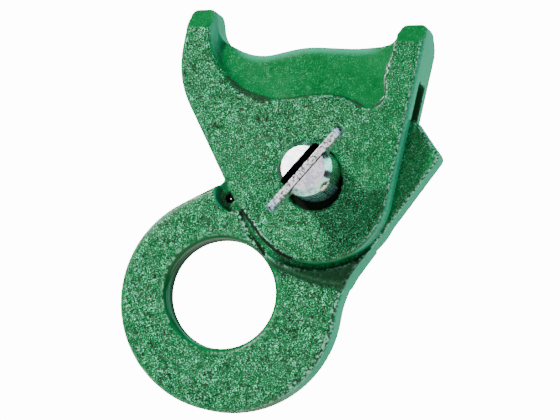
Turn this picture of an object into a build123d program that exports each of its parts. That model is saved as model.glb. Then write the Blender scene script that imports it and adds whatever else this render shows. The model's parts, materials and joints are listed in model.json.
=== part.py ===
from build123d import *
import os
from math import atan2, ceil, cos, degrees, hypot, radians, sin, sqrt

# Beam clamp: a cast clevis body with a two-horned saddle, an eye lever that swings in its slot,
# and a removable pin that a folding toggle bar locks. All sizes are in millimetres.
#
# The origin is the centre of the load eye, at the middle of the lever's thickness. Seen from the
# front, X runs to the right and Z up; Y runs away from the viewer, along the pin. Front outlines
# are drawn as (x, z). A straight edge of an outline is given by the direction that it faces, in
# degrees from +X, and by its distance from the pin axis.

# ---- Lay-out ---------------------------------------------------------------------------------
pivot_right = 41.2  # pin axis from the load eye, sideways
pivot_up = 48.6  # pin axis from the load eye, upwards
swing = 24.0  # swing of the lever, from its stop at rest, in degrees

# ---- Fits ------------------------------------------------------------------------------------
tongue_side_gap = 0.3  # tongue to each cheek
running_gap = 0.08  # radial, pin in its bores
fixed_gap = 0.02  # radial, pieces that are pressed in
stop_gap = 0.3  # tongue to its stop at rest
seat_gap = 0.25  # pieces that lean on each other

# ---- Body ------------------------------------------------------------------------------------
cheek_thickness = 9.6
body_edge_round = 2.6
foot_radius = 31.0  # round lower ends of the cheeks
foot_right = 1.15  # centre of that radius from the pin axis
foot_drop = 6.6
right_edge_faces = -13.0
lower_flank_faces = 215.7
upper_flank_faces = 205.2
flank_bend_height = -11.9  # of the bend between the two flanks, from the pin axis
flank_bend_radius = 90.0
left_horn_height = 71.5  # above the pin axis
left_tip_inner = -42.9  # inner corner of the left horn's tip, from the pin axis
left_tip_width = 9.8
left_back_faces = 168.9
left_bend_radius = 39.0
left_wall_faces = 6.0
left_tip_round = 3.0
right_horn_height = 62.6
right_tip_inner = 37.0
right_side_height = 8.0  # of the horn's upright side
right_wall_faces = 152.0
right_tip_round = 2.9
right_bend_radius = 26.0
horn_bevel_angle = 45.0
left_bevel_height = 9.0  # of the bevel on the front of the horn
left_back_bevel_height = 11.5
right_bevel_height = 8.4
right_back_bevel_height = 12.0

# Saddle between the horns: (right, up) from the pin axis of each bend, and its radius. The corner
# at each horn's foot is (drop below the horn's tip, radius).
saddle_left_corner = (12.9, 9.0)
saddle_low = (-25.5, 49.9, 22.0)
saddle_hump = (-4.5, 54.5, 45.0)
saddle_dip = (17.0, 53.0, 60.0)
saddle_right_corner = (8.7, 6.5)

# Sunk panel below the saddle, on the front and the back.
panel_edge = (
    (-43.0, 62.0),
    (-42.0, 54.5),
    (-38.9, 46.6),
    (-30.2, 36.6),
    (-14.7, 31.4),
    (1.5, 33.1),
    (14.5, 30.8),
    (24.5, 26.9),
    (29.6, 30.6),
    (30.6, 40.5),
    (33.4, 49.5),
    (34.6, 58.0),
)
panel_depth_low = 1.2  # at the panel's lowest edge
panel_depth_high = 5.5  # at the saddle

# ---- Slot in the body ------------------------------------------------------------------------
ceiling_room = 0.7  # over the tongue's heel at the end of its swing
ceiling_start = 8.5  # right of the pin axis
stop_pad_end = -8.0
stop_pad_slope_round = 3.0
web_end_height = 17.5  # lower end of the web that closes the slot on the left
channel_room = 1.2  # around the spring

# ---- Eye lever -------------------------------------------------------------------------------
tongue_thickness = 15.2
ring_thickness = 17.0
eye_radius = 23.0
eye_mouth_radius = 25.0
eye_mouth_depth = 3.9
ring_radius = 46.3
ring_right = 3.2  # centre of the ring's outside from the eye's
ring_down = 3.4
ring_edge_round = 3.0
shoulder_gap = 1.6  # from the thick part of the lever to the cheeks' feet, over its swing
shoulder_end = -45.0  # direction from the pin axis above which the lever is thin at its back edge
neck_faces = 115.9
back_edge_faces = -37.5
back_edge_reach = 37.0
back_edge_straight = 21.3  # along the back edge, from beside the pin axis down to its bend
beak_faces = 34.0
beak_reach = 47.0
beak_tip_round = 3.2
heel_round = 2.6
tongue_top = 23.0
tongue_left_faces = 157.6
tongue_left_reach = 30.0
tongue_corner_round = 7.0
tongue_edge_round = 0.8

# Raised land under the cheeks' feet.
land_height = 1.8  # over the ring's face
land_round = 1.0
land_arc_radius = 74.6
land_arc_right = 18.9  # centre of the land's lower edge from the pin axis
land_arc_up = 27.5
land_left_end = -20.0

# Notch with the spring's hook hole.
notch_radius = 7.8
notch_reach = 36.1
notch_angle = 190.2
hook_hole_radius = 1.7
hook_hole_reach = 39.3
hook_hole_angle = 191.8
web_thickness = 2.4
web_above_hole = 3.2
lip_gap = 2.2  # from the hook to the lip that closes the notch on the left

# ---- Bush, pin, toggle -----------------------------------------------------------------------
pin_radius = 11.5
bush_wall = 2.5
pin_head_radius = 16.5
pin_head_thickness = 6.0
pin_head_chamfer = 1.5
pin_stand_out = 24.5  # of the pin's end from the front cheek
pin_end_chamfer = 2.4
pin_end_chamfer_length = 3.6
fork_width = 5.3  # slot in the pin's end
bar_angle = 47.6  # of the toggle bar, from +X
bar_half_length = 22.5
bar_thickness = 3.0
bar_width = 10.0  # along the pin, beside the rivet
bar_tip_width = 4.0
bar_shoulder = 12.0  # half length of the wide part
bar_tip_round = 1.5
bar_shoulder_round = 5.0
rivet_depth = 4.6  # rivet axis from the pin's end
rivet_radius = 1.9
rivet_running_gap = 0.1
bar_wall_gap = 0.5  # bar to the wall of the fork that it leans on

# ---- Return spring ---------------------------------------------------------------------------
wire_radius = 0.7
coil_radius = 3.3  # to the middle of the wire
coil_pitch = 1.9
coil_turns = 11
anchor_right = -33.5  # anchor pin from the pin axis
anchor_up = 38.0
anchor_radius = 2.0
anchor_bite = 5.0  # of the anchor pin in the front cheek
anchor_sunk = 1.5  # of the anchor pin below the back face
hook_loop_radius = 3.4
hook_room = 0.95  # wire to the top of its hole
hook_turn = 24.0  # of the hook about the spring's line
wire_sides = 6  # flats that stand for the round wire in the coil

# ---- Worked out from the sizes above ------------------------------------------------------------
slot_half = tongue_thickness / 2 + tongue_side_gap
body_half = slot_half + cheek_thickness
pivot = Vector(pivot_right, pivot_up)
pin_bore_radius = pin_radius + running_gap
bush_radius = pin_bore_radius + bush_wall
pin_end = body_half + pin_stand_out  # of the pin's end in front of the mid-plane
rivet_out = pin_end - rivet_depth
far = 400.0  # past every piece
tongue_heel_x = (beak_reach - tongue_top * sin(radians(beak_faces))) / cos(radians(beak_faces))
heel_radius = hypot(tongue_heel_x, tongue_top)
heel_angle = degrees(atan2(tongue_top, tongue_heel_x))
ceiling_height = heel_radius * sin(radians(heel_angle + swing)) + ceiling_room
hook_hole = pivot + Vector(hook_hole_reach, 0).rotate(Axis.Z, hook_hole_angle)
anchor = pivot + Vector(anchor_right, anchor_up)
notch_centre = pivot + Vector(notch_reach, 0).rotate(Axis.Z, notch_angle)
ring_centre = Vector(ring_right, -ring_down)
spring_line = (anchor - hook_hole).normalized()  # from the hook hole up to the anchor


def crossing(edge_a, edge_b, centre=pivot):
    """Where two straight edges meet, each (direction it faces, distance from centre)."""
    cos_a, sin_a = cos(radians(edge_a[0])), sin(radians(edge_a[0]))
    cos_b, sin_b = cos(radians(edge_b[0])), sin(radians(edge_b[0]))
    turn = cos_a * sin_b - sin_a * cos_b
    x = (edge_a[1] * sin_b - edge_b[1] * sin_a) / turn
    z = (cos_a * edge_b[1] - cos_b * edge_a[1]) / turn
    return centre + Vector(x, z)


def along(edge, height):
    """The point of a straight edge at a height above the pin axis."""
    return crossing(edge, (90, height))


def edge_through(faces, point):
    """The straight edge that faces a direction and runs through a point."""
    return faces, (point - pivot).dot(Vector(1, 0).rotate(Axis.Z, faces))


def plate(outline, thickness):
    """A plate of a front outline, centred on the mid-plane."""
    return extrude(Plane.XZ * outline, thickness / 2, both=True)


def disc(centre, radius):
    """A round front outline."""
    return Pos(centre.X, centre.Y) * Circle(radius)


def front(point, depth=0.0):
    """A point of a front outline in space, at a depth behind the mid-plane."""
    return Vector(point.X, depth, point.Y)


def rod(point, radius, start, end):
    """A cylinder along Y through a point of the front outline, between two depths."""
    face = Plane(front(point, start), x_dir=(1, 0, 0), z_dir=(0, 1, 0)) * Circle(radius)
    return extrude(face, end - start)


def rim(solid, depth, apart_from=None):
    """The edges of a plate's two faces, without those that lie on another outline."""
    other = plate(apart_from, 4 * depth) if apart_from else None

    def on_rim(edge):
        middle = edge @ 0.5
        flat = edge.bounding_box().size.Y < 1e-4 and abs(abs(middle.Y) - depth) < 1e-4
        return flat and (other is None or other.distance_to(Vertex(middle)) > 0.01)

    return solid.edges().filter_by(on_rim)


# ---- Body ------------------------------------------------------------------------------------
def cheek_edges(gap=0.0):
    """The straight edges round the cheeks' feet, each moved out by a gap."""
    foot_centre = pivot + Vector(foot_right, -foot_drop)
    right_edge = edge_through(right_edge_faces, foot_centre)
    lower_flank = edge_through(lower_flank_faces, foot_centre)
    outer = foot_radius + gap
    bend = along((lower_flank[0], lower_flank[1] + foot_radius), flank_bend_height)
    upper_flank = edge_through(upper_flank_faces, bend)
    return [
        (right_edge[0], right_edge[1] + outer),
        (lower_flank[0], lower_flank[1] + outer),
        (upper_flank[0], upper_flank[1] + gap),
    ]


def cheek_room(gap):
    """The room that the cheeks' feet take, grown by a gap, over the lever's whole swing."""
    right_edge, lower_flank, upper_flank = cheek_edges(gap)
    foot = make_face(
        FilletPolyline(
            along(right_edge, far),
            crossing(right_edge, lower_flank),
            crossing(lower_flank, upper_flank),
            along(upper_flank, far),
            radius=(0, foot_radius + gap, flank_bend_radius + gap, 0),
            close=True,
        )
    )
    swung = foot.rotate(Axis((pivot.X, pivot.Y, 0), (0, 0, 1)), -swing)
    return foot + swung


def body_outline():
    """The front outline: round feet, leaning flanks, two horns and the saddle between them."""
    right_edge, lower_flank, upper_flank = cheek_edges()
    left_inner = pivot + Vector(left_tip_inner, left_horn_height)
    left_outer = left_inner - Vector(left_tip_width, 0)
    left_wall = edge_through(left_wall_faces, left_inner)
    left_back = edge_through(left_back_faces, left_outer)
    right_inner = pivot + Vector(right_tip_inner, right_horn_height)
    right_bend = along(right_edge, right_horn_height - right_side_height)
    right_outer = right_bend + Vector(0, right_side_height)
    right_wall = edge_through(right_wall_faces, right_inner)
    bends = (
        (right_inner, right_tip_round),
        (right_outer, right_tip_round),
        (right_bend, right_bend_radius),
        (crossing(right_edge, lower_flank), foot_radius),
        (crossing(lower_flank, upper_flank), flank_bend_radius),
        (crossing(upper_flank, left_back), left_bend_radius),
        (left_outer, left_tip_round),
        (left_inner, left_tip_round),
        (along(left_wall, left_horn_height - saddle_left_corner[0]), saddle_left_corner[1]),
        (pivot + Vector(*saddle_low[:2]), saddle_low[2]),
        (pivot + Vector(*saddle_hump[:2]), saddle_hump[2]),
        (pivot + Vector(*saddle_dip[:2]), saddle_dip[2]),
        (along(right_wall, right_horn_height - saddle_right_corner[0]), saddle_right_corner[1]),
    )
    corners, radii = zip(*bends)
    return make_face(FilletPolyline(*corners, radius=radii, close=True))


def slot_outline():
    """The space between the cheeks: open below and to the right, with the spring's channel."""
    across = Vector(spring_line.Y, -spring_line.X) * (coil_radius + wire_radius + channel_room)
    pad = tongue_top + stop_gap
    top = anchor + spring_line * (anchor_radius + 2 * wire_radius + channel_room + 2)
    channel_right = top + across
    channel_left = top - across
    facing = degrees(atan2(across.Y, across.X))
    reach_right = (channel_right - pivot).dot(across.normalized())
    reach_left = (channel_left - pivot).dot(across.normalized())
    return make_face(
        FilletPolyline(
            pivot + Vector(far, -far),
            pivot + Vector(far, ceiling_height),
            pivot + Vector(ceiling_start, ceiling_height),
            pivot + Vector(stop_pad_end, pad),
            along((facing, reach_right), pad),
            channel_right,
            channel_left,
            along((facing, reach_left), web_end_height),
            pivot + Vector(-far, web_end_height),
            pivot + Vector(-far, -far),
            radius=(
                0,
                0,
                stop_pad_slope_round,
                stop_pad_slope_round,
                stop_pad_slope_round,
                stop_pad_slope_round,
                stop_pad_slope_round,
                channel_room,
                0,
                0,
            ),
            close=True,
        )
    )


def leaning_block(point, depth, lean):
    """Everything in front of a plane through a point, which leans back by an angle as it rises."""
    face = Location(front(point, -depth), (-lean, 0, 0))
    return face * Pos(0, -far / 2, 0) * Box(2 * far, far, 2 * far)


def panel_cutter():
    """The space in front of the sunk panel, which deepens towards the saddle."""
    edge = [pivot + Vector(*point) for point in panel_edge]
    low = min(edge, key=lambda point: point.Y)
    high = pivot + Vector(*saddle_low)
    lean = degrees(atan2(panel_depth_high - panel_depth_low, high.Y - low.Y))
    above = Vector(0, 2 * left_horn_height)
    sketch = make_face(
        Spline(*edge).edges() + Polyline(edge[-1], edge[-1] + above, edge[0] + above, edge[0]).edges()
    )
    return plate(sketch, 4 * body_half) & leaning_block(low, body_half - panel_depth_low, lean)


def bevel_cutter(height, bevel_height, side):
    """The space in front of the bevel on a horn's face, left (-1) or right (1) of the pin."""
    start = pivot + Vector(0, height - bevel_height)
    half_space = Pos(pivot_right + side * far / 2, 0, 0) * Box(far, far, 4 * far)
    return leaning_block(start, body_half, 90 - horn_bevel_angle) & half_space


def clamp_body():
    """The cast body."""
    solid = plate(body_outline(), 2 * body_half)
    solid = fillet(rim(solid, body_half), body_edge_round)
    solid -= bevel_cutter(left_horn_height, left_bevel_height, -1)
    solid -= bevel_cutter(right_horn_height, right_bevel_height, 1)
    solid -= mirror(bevel_cutter(left_horn_height, left_back_bevel_height, -1), Plane.XZ)
    solid -= mirror(bevel_cutter(right_horn_height, right_back_bevel_height, 1), Plane.XZ)
    panel = panel_cutter()
    solid = solid - panel - mirror(panel, Plane.XZ)
    solid -= plate(slot_outline(), 2 * slot_half)
    solid -= rod(pivot, pin_bore_radius, -far, far)
    solid -= rod(anchor, anchor_radius + fixed_gap, -slot_half - anchor_bite, far)
    return solid


# ---- Eye lever -------------------------------------------------------------------------------
def lever_outline():
    """Ring, neck, tongue and beak in one front outline."""
    back_edge = (back_edge_faces, back_edge_reach)
    beak = (beak_faces, beak_reach)
    top = (90, tongue_top)
    left = (tongue_left_faces, tongue_left_reach)
    neck_start = ring_centre + Vector(ring_radius, 0).rotate(Axis.Z, neck_faces)
    neck_reach = (neck_start - pivot).dot(Vector(1, 0).rotate(Axis.Z, neck_faces))
    neck = (neck_faces, neck_reach)
    away = ring_centre - pivot
    ring_reach = away.dot(Vector(1, 0).rotate(Axis.Z, back_edge_faces))
    overhang = back_edge_reach - ring_reach
    ring_side = sqrt(ring_radius**2 - overhang**2)
    back_foot = ring_centre + Vector(overhang, ring_side).rotate(Axis.Z, back_edge_faces)
    bend_side = away.dot(Vector(0, -1).rotate(Axis.Z, back_edge_faces)) - back_edge_straight
    bend_radius = (bend_side**2 + overhang**2 - ring_radius**2) / (2 * (ring_radius - overhang))
    tongue = make_face(
        FilletPolyline(
            ring_centre,
            neck_start,
            crossing(neck, left),
            crossing(left, top),
            crossing(top, beak),
            crossing(beak, back_edge),
            back_foot,
            radius=(0, 0, 0, tongue_corner_round, heel_round, beak_tip_round, 0),
            close=True,
        )
    )
    outline = tongue + disc(ring_centre, ring_radius)
    foot_corner = outline.vertices().sort_by_distance((back_foot.X, back_foot.Y))[0]
    return fillet(foot_corner, bend_radius)


def eye_cutter():
    """The load eye's bore, with its mouths rounded out."""
    straight = ring_thickness / 2 - eye_mouth_depth
    outside = ring_thickness
    profile = make_face(
        Polyline(
            (eye_radius, straight),
            (eye_radius, -straight),
        ).edges()
        + Spline(
            (eye_radius, -straight),
            (eye_mouth_radius, -ring_thickness / 2),
            tangents=[(0, -1), (1, -0.8)],
        ).edges()
        + Polyline(
            (eye_mouth_radius, -ring_thickness / 2),
            (eye_mouth_radius, -outside),
            (0, -outside),
            (0, outside),
            (eye_mouth_radius, outside),
            (eye_mouth_radius, ring_thickness / 2),
        ).edges()
        + Spline(
            (eye_mouth_radius, ring_thickness / 2),
            (eye_radius, straight),
            tangents=[(-1, -0.8), (0, -1)],
        ).edges()
    )
    return revolve(profile, Axis.Y)


def eye_lever():
    """The lever: thin where it swings between the cheeks, thick round the eye."""
    outline = lever_outline()
    above = Pos(pivot.X, pivot.Y) * Rot(0, 0, shoulder_end) * Pos(0, far / 2) * Rectangle(far, far)
    room = cheek_room(shoulder_gap) + above
    tongue = plate(outline, tongue_thickness)
    tongue = fillet(rim(tongue, tongue_thickness / 2), tongue_edge_round)
    ring = plate(outline - room, ring_thickness)
    ring = fillet(rim(ring, ring_thickness / 2, room), ring_edge_round)
    land_arc = disc(pivot + Vector(land_arc_right, land_arc_up), land_arc_radius)
    land_room = room + Pos(pivot_right + land_left_end - far / 2, 0) * Rectangle(far, far)
    land_thickness = ring_thickness + 2 * land_height
    land = plate((outline & land_arc) - land_room, land_thickness)
    land = fillet(rim(land, land_thickness / 2, land_room), land_round)
    notch = disc(notch_centre, notch_radius)
    lip_side = hook_hole + Vector(far / 2 - lip_gap, web_above_hole + far / 2)
    web_top = Pos(lip_side.X, lip_side.Y) * Rectangle(far, far)
    web = plate(disc(notch_centre, notch_radius + 0.5) - web_top, web_thickness)
    solid = tongue + ring + land
    solid = solid - plate(notch, 2 * ring_thickness) + web
    solid -= rod(hook_hole, hook_hole_radius, -far, far)
    solid -= rod(pivot, bush_radius + fixed_gap, -far, far)
    return solid - eye_cutter()


def lever_bush():
    """The bush in the tongue."""
    half = tongue_thickness / 2
    return rod(pivot, bush_radius, -half, half) - rod(pivot, pin_bore_radius, -far, far)


# ---- Pin and toggle --------------------------------------------------------------------------
def fork_frame(offset=0.0):
    """A plane in the pin's fork: x along the bar, y out of the pin's end, z across the bar."""
    lengthwise = Vector(cos(radians(bar_angle)), 0, sin(radians(bar_angle)))
    across = Vector(sin(radians(bar_angle)), 0, -cos(radians(bar_angle)))
    return Plane(front(pivot, -rivet_out) + across * offset, x_dir=lengthwise, z_dir=across)


def bar_reach():
    """How far the toggle's rounded tips reach from the rivet."""
    return hypot(bar_half_length - bar_tip_round, rivet_depth - bar_tip_round) + bar_tip_round


def pivot_pin():
    """The pin: head at the back, forked and chamfered end at the front."""
    head_start = body_half + seat_gap
    head = rod(pivot, pin_head_radius, head_start, head_start + pin_head_thickness)
    head = chamfer(head.edges().sort_by(Axis.Y)[-1], pin_head_chamfer)
    shank = rod(pivot, pin_radius, -pin_end, head_start)
    end_edge = shank.edges().filter_by(GeomType.CIRCLE).sort_by(Axis.Y)[0]
    end_face = shank.faces().sort_by(Axis.Y)[0]
    shank = chamfer(end_edge, pin_end_chamfer, pin_end_chamfer_length, reference=end_face)
    fork_depth = rivet_depth + bar_reach() + 1.0
    fork_middle = fork_depth / 2 - rivet_depth
    fork = fork_frame() * Pos(0, -fork_middle, 0) * Box(4 * pin_radius, fork_depth, fork_width)
    hole = extrude(fork_frame() * Circle(rivet_radius + fixed_gap), far, both=True)
    return head + shank - fork - hole


def toggle_bar():
    """The flat bar, straight along its outer edge and tapered to its tips."""
    outer = rivet_depth
    inner = outer - bar_width
    tip_inner = outer - bar_tip_width
    sketch = make_face(
        FilletPolyline(
            (-bar_half_length, outer),
            (bar_half_length, outer),
            (bar_half_length, tip_inner),
            (bar_shoulder, inner),
            (-bar_shoulder, inner),
            (-bar_half_length, tip_inner),
            radius=(
                bar_tip_round,
                bar_tip_round,
                bar_tip_round,
                bar_shoulder_round,
                bar_shoulder_round,
                bar_tip_round,
            ),
            close=True,
        )
    )
    middle = (fork_width - bar_thickness) / 2 - bar_wall_gap
    hole = Circle(rivet_radius + rivet_running_gap)
    return extrude(fork_frame(middle) * (sketch - hole), bar_thickness / 2, both=True)


def toggle_rivet():
    """The rivet that the bar folds on, with its ends dressed flush with the pin."""
    bar = extrude(fork_frame() * Circle(rivet_radius), 2 * pin_radius, both=True)
    return bar & rod(pivot, pin_radius, -far, far)


# ---- Return spring ---------------------------------------------------------------------------
def return_spring():
    """Extension spring from the lever's hook hole up to the anchor pin."""
    line = front(spring_line)
    sideways = Vector(0, 1, 0)
    grip = hook_hole + spring_line * (hook_hole_radius - wire_radius - hook_room)
    loop_centre = grip + spring_line * hook_loop_radius
    lower_loop = Plane(front(loop_centre), x_dir=line, z_dir=line.cross(sideways)) * Torus(
        hook_loop_radius, wire_radius
    )
    lower_loop = lower_loop.rotate(Axis(front(loop_centre), line), hook_turn)
    eye_loop_radius = anchor_radius + wire_radius + seat_gap
    upper_loop = Plane(front(anchor), x_dir=line, z_dir=sideways) * Torus(eye_loop_radius, wire_radius)
    leg_start = loop_centre + spring_line * hook_loop_radius
    leg_end = anchor - spring_line * eye_loop_radius
    coil_length = coil_pitch * coil_turns
    coil_start = leg_end - spring_line * (coil_length + coil_pitch)
    coil_plane = Plane(front(coil_start), x_dir=sideways, z_dir=line)
    helix = coil_plane * Helix(coil_pitch, coil_length, coil_radius)
    wire_start = Plane(helix @ 0, z_dir=helix % 0) * RegularPolygon(wire_radius, wire_sides, major_radius=False)
    coil = sweep(wire_start, path=helix, is_frenet=True)
    lower_leg = leg(front(leg_start), front(coil_start))
    upper_leg = leg(front(coil_start) + line * coil_length, front(leg_end))
    lower_cross = leg(front(coil_start), helix @ 0)
    upper_cross = leg(front(coil_start) + line * coil_length, helix @ 1)
    return lower_loop + upper_loop + lower_leg + upper_leg + lower_cross + upper_cross + coil


def leg(start, end):
    """A straight piece of spring wire with round ends."""
    span = end - start
    wire = extrude(Plane(start, z_dir=span) * Circle(wire_radius), span.length)
    return wire + Pos(start) * Sphere(wire_radius) + Pos(end) * Sphere(wire_radius)


def spring_anchor_pin():
    """The pin across the slot that the spring hangs on, driven in from the back."""
    return rod(anchor, anchor_radius, -slot_half - anchor_bite, body_half - anchor_sunk)


pieces = {
    "clamp_body": clamp_body,
    "eye_lever": eye_lever,
    "lever_bush": lever_bush,
    "pivot_pin": pivot_pin,
    "toggle_bar": toggle_bar,
    "toggle_rivet": toggle_rivet,
    "return_spring": return_spring,
    "spring_anchor_pin": spring_anchor_pin,
}

os.makedirs("parts", exist_ok=True)
for name, make in pieces.items():
    export_step(make(), f"parts/{name}.step")
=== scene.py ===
"""Looks of a cast beam clamp: green sand-cast body and eye lever, zinc-plated pin and toggle bar.

Each sub-assembly is a class that builds its meshes and dresses them. Lengths are in metres, in the
frame of the row: the load eye's centre is the origin, X runs right, Y away from the front, Z up.
"""

import json
import logging
from dataclasses import dataclass, field
from enum import Enum
from math import cos, hypot, pi, radians, sin
from typing import Sequence

import bpy
import numpy as np
from mathutils import Matrix, Vector, noise

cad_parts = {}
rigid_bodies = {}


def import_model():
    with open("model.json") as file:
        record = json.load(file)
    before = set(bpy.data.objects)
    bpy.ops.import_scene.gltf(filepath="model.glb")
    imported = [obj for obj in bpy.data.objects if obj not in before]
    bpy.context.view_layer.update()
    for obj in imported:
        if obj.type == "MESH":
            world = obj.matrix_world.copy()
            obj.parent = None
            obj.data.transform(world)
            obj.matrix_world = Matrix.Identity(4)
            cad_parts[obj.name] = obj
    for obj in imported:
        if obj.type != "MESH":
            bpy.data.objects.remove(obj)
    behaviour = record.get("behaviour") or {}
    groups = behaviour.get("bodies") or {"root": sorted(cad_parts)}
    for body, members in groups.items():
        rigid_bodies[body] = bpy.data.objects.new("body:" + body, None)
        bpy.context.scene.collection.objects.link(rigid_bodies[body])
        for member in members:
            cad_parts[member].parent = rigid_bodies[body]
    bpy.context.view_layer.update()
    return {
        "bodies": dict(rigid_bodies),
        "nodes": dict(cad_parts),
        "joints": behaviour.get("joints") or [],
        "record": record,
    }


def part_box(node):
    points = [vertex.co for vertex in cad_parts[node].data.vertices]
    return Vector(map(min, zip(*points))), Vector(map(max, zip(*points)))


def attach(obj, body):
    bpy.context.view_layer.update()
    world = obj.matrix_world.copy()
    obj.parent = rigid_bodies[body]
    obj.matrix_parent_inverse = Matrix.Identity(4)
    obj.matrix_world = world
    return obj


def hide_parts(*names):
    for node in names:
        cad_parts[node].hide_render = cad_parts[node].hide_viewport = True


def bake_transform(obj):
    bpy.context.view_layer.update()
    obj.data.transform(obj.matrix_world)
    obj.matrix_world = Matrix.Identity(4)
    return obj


log = logging.getLogger("beam_clamp")

MM = 0.001
Pair = tuple[float, float]
Line = tuple[Pair, ...]

# The pin's axis, to the right of the load eye's centre and above it.
PIN_AXIS = (41.2 * MM, 48.6 * MM)
# Where the rivet crosses the pin, and the line of the rivet, square to the toggle bar.
RIVET_MIDDLE = (41.2 * MM, -37.4 * MM, 48.6 * MM)
RIVET_LINE = (0.7385, -0.6743)


class Slot(Enum):
    """The record's material slots."""

    GREEN_PAINT = "green_paint"
    ZINC_PLATE = "zinc_plate"
    RIVET_STEEL = "rivet_steel"
    SPRING_STEEL = "spring_steel"
    BRONZE = "bronze"


class Blend(Enum):
    """How one colour lies over another."""

    COVER = "MIX"
    TINT = "MULTIPLY"


class Sum(Enum):
    """How two values make one."""

    PRODUCT = "MULTIPLY"
    LARGER = "MAXIMUM"


@dataclass(frozen=True)
class Colour:
    """A linear colour."""

    red: float
    green: float
    blue: float

    @property
    def rgba(self) -> tuple[float, float, float, float]:
        """The colour with full cover."""
        return (self.red, self.green, self.blue, 1.0)


@dataclass(frozen=True)
class Band:
    """A stretch of a measure over which a mark comes in, or goes out where its end is the smaller."""

    start: float
    end: float

    def of(self, values: np.ndarray) -> np.ndarray:
        """How far each value has come from the start to the end, from 0 to 1."""
        return np.clip((values - self.start) / (self.end - self.start), 0, 1)


@dataclass(frozen=True)
class Grain:
    """A noise: its cells to a metre, its octaves, how strong the finer ones are, and how it is drawn."""

    cells: float
    detail: float
    rough: float
    stretch: tuple[float, float, float] | None = None


# ---- Material nodes ----------------------------------------------------------------------------
Socket = bpy.types.NodeSocket
WHOLE = (0.0, 1.0)


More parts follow.
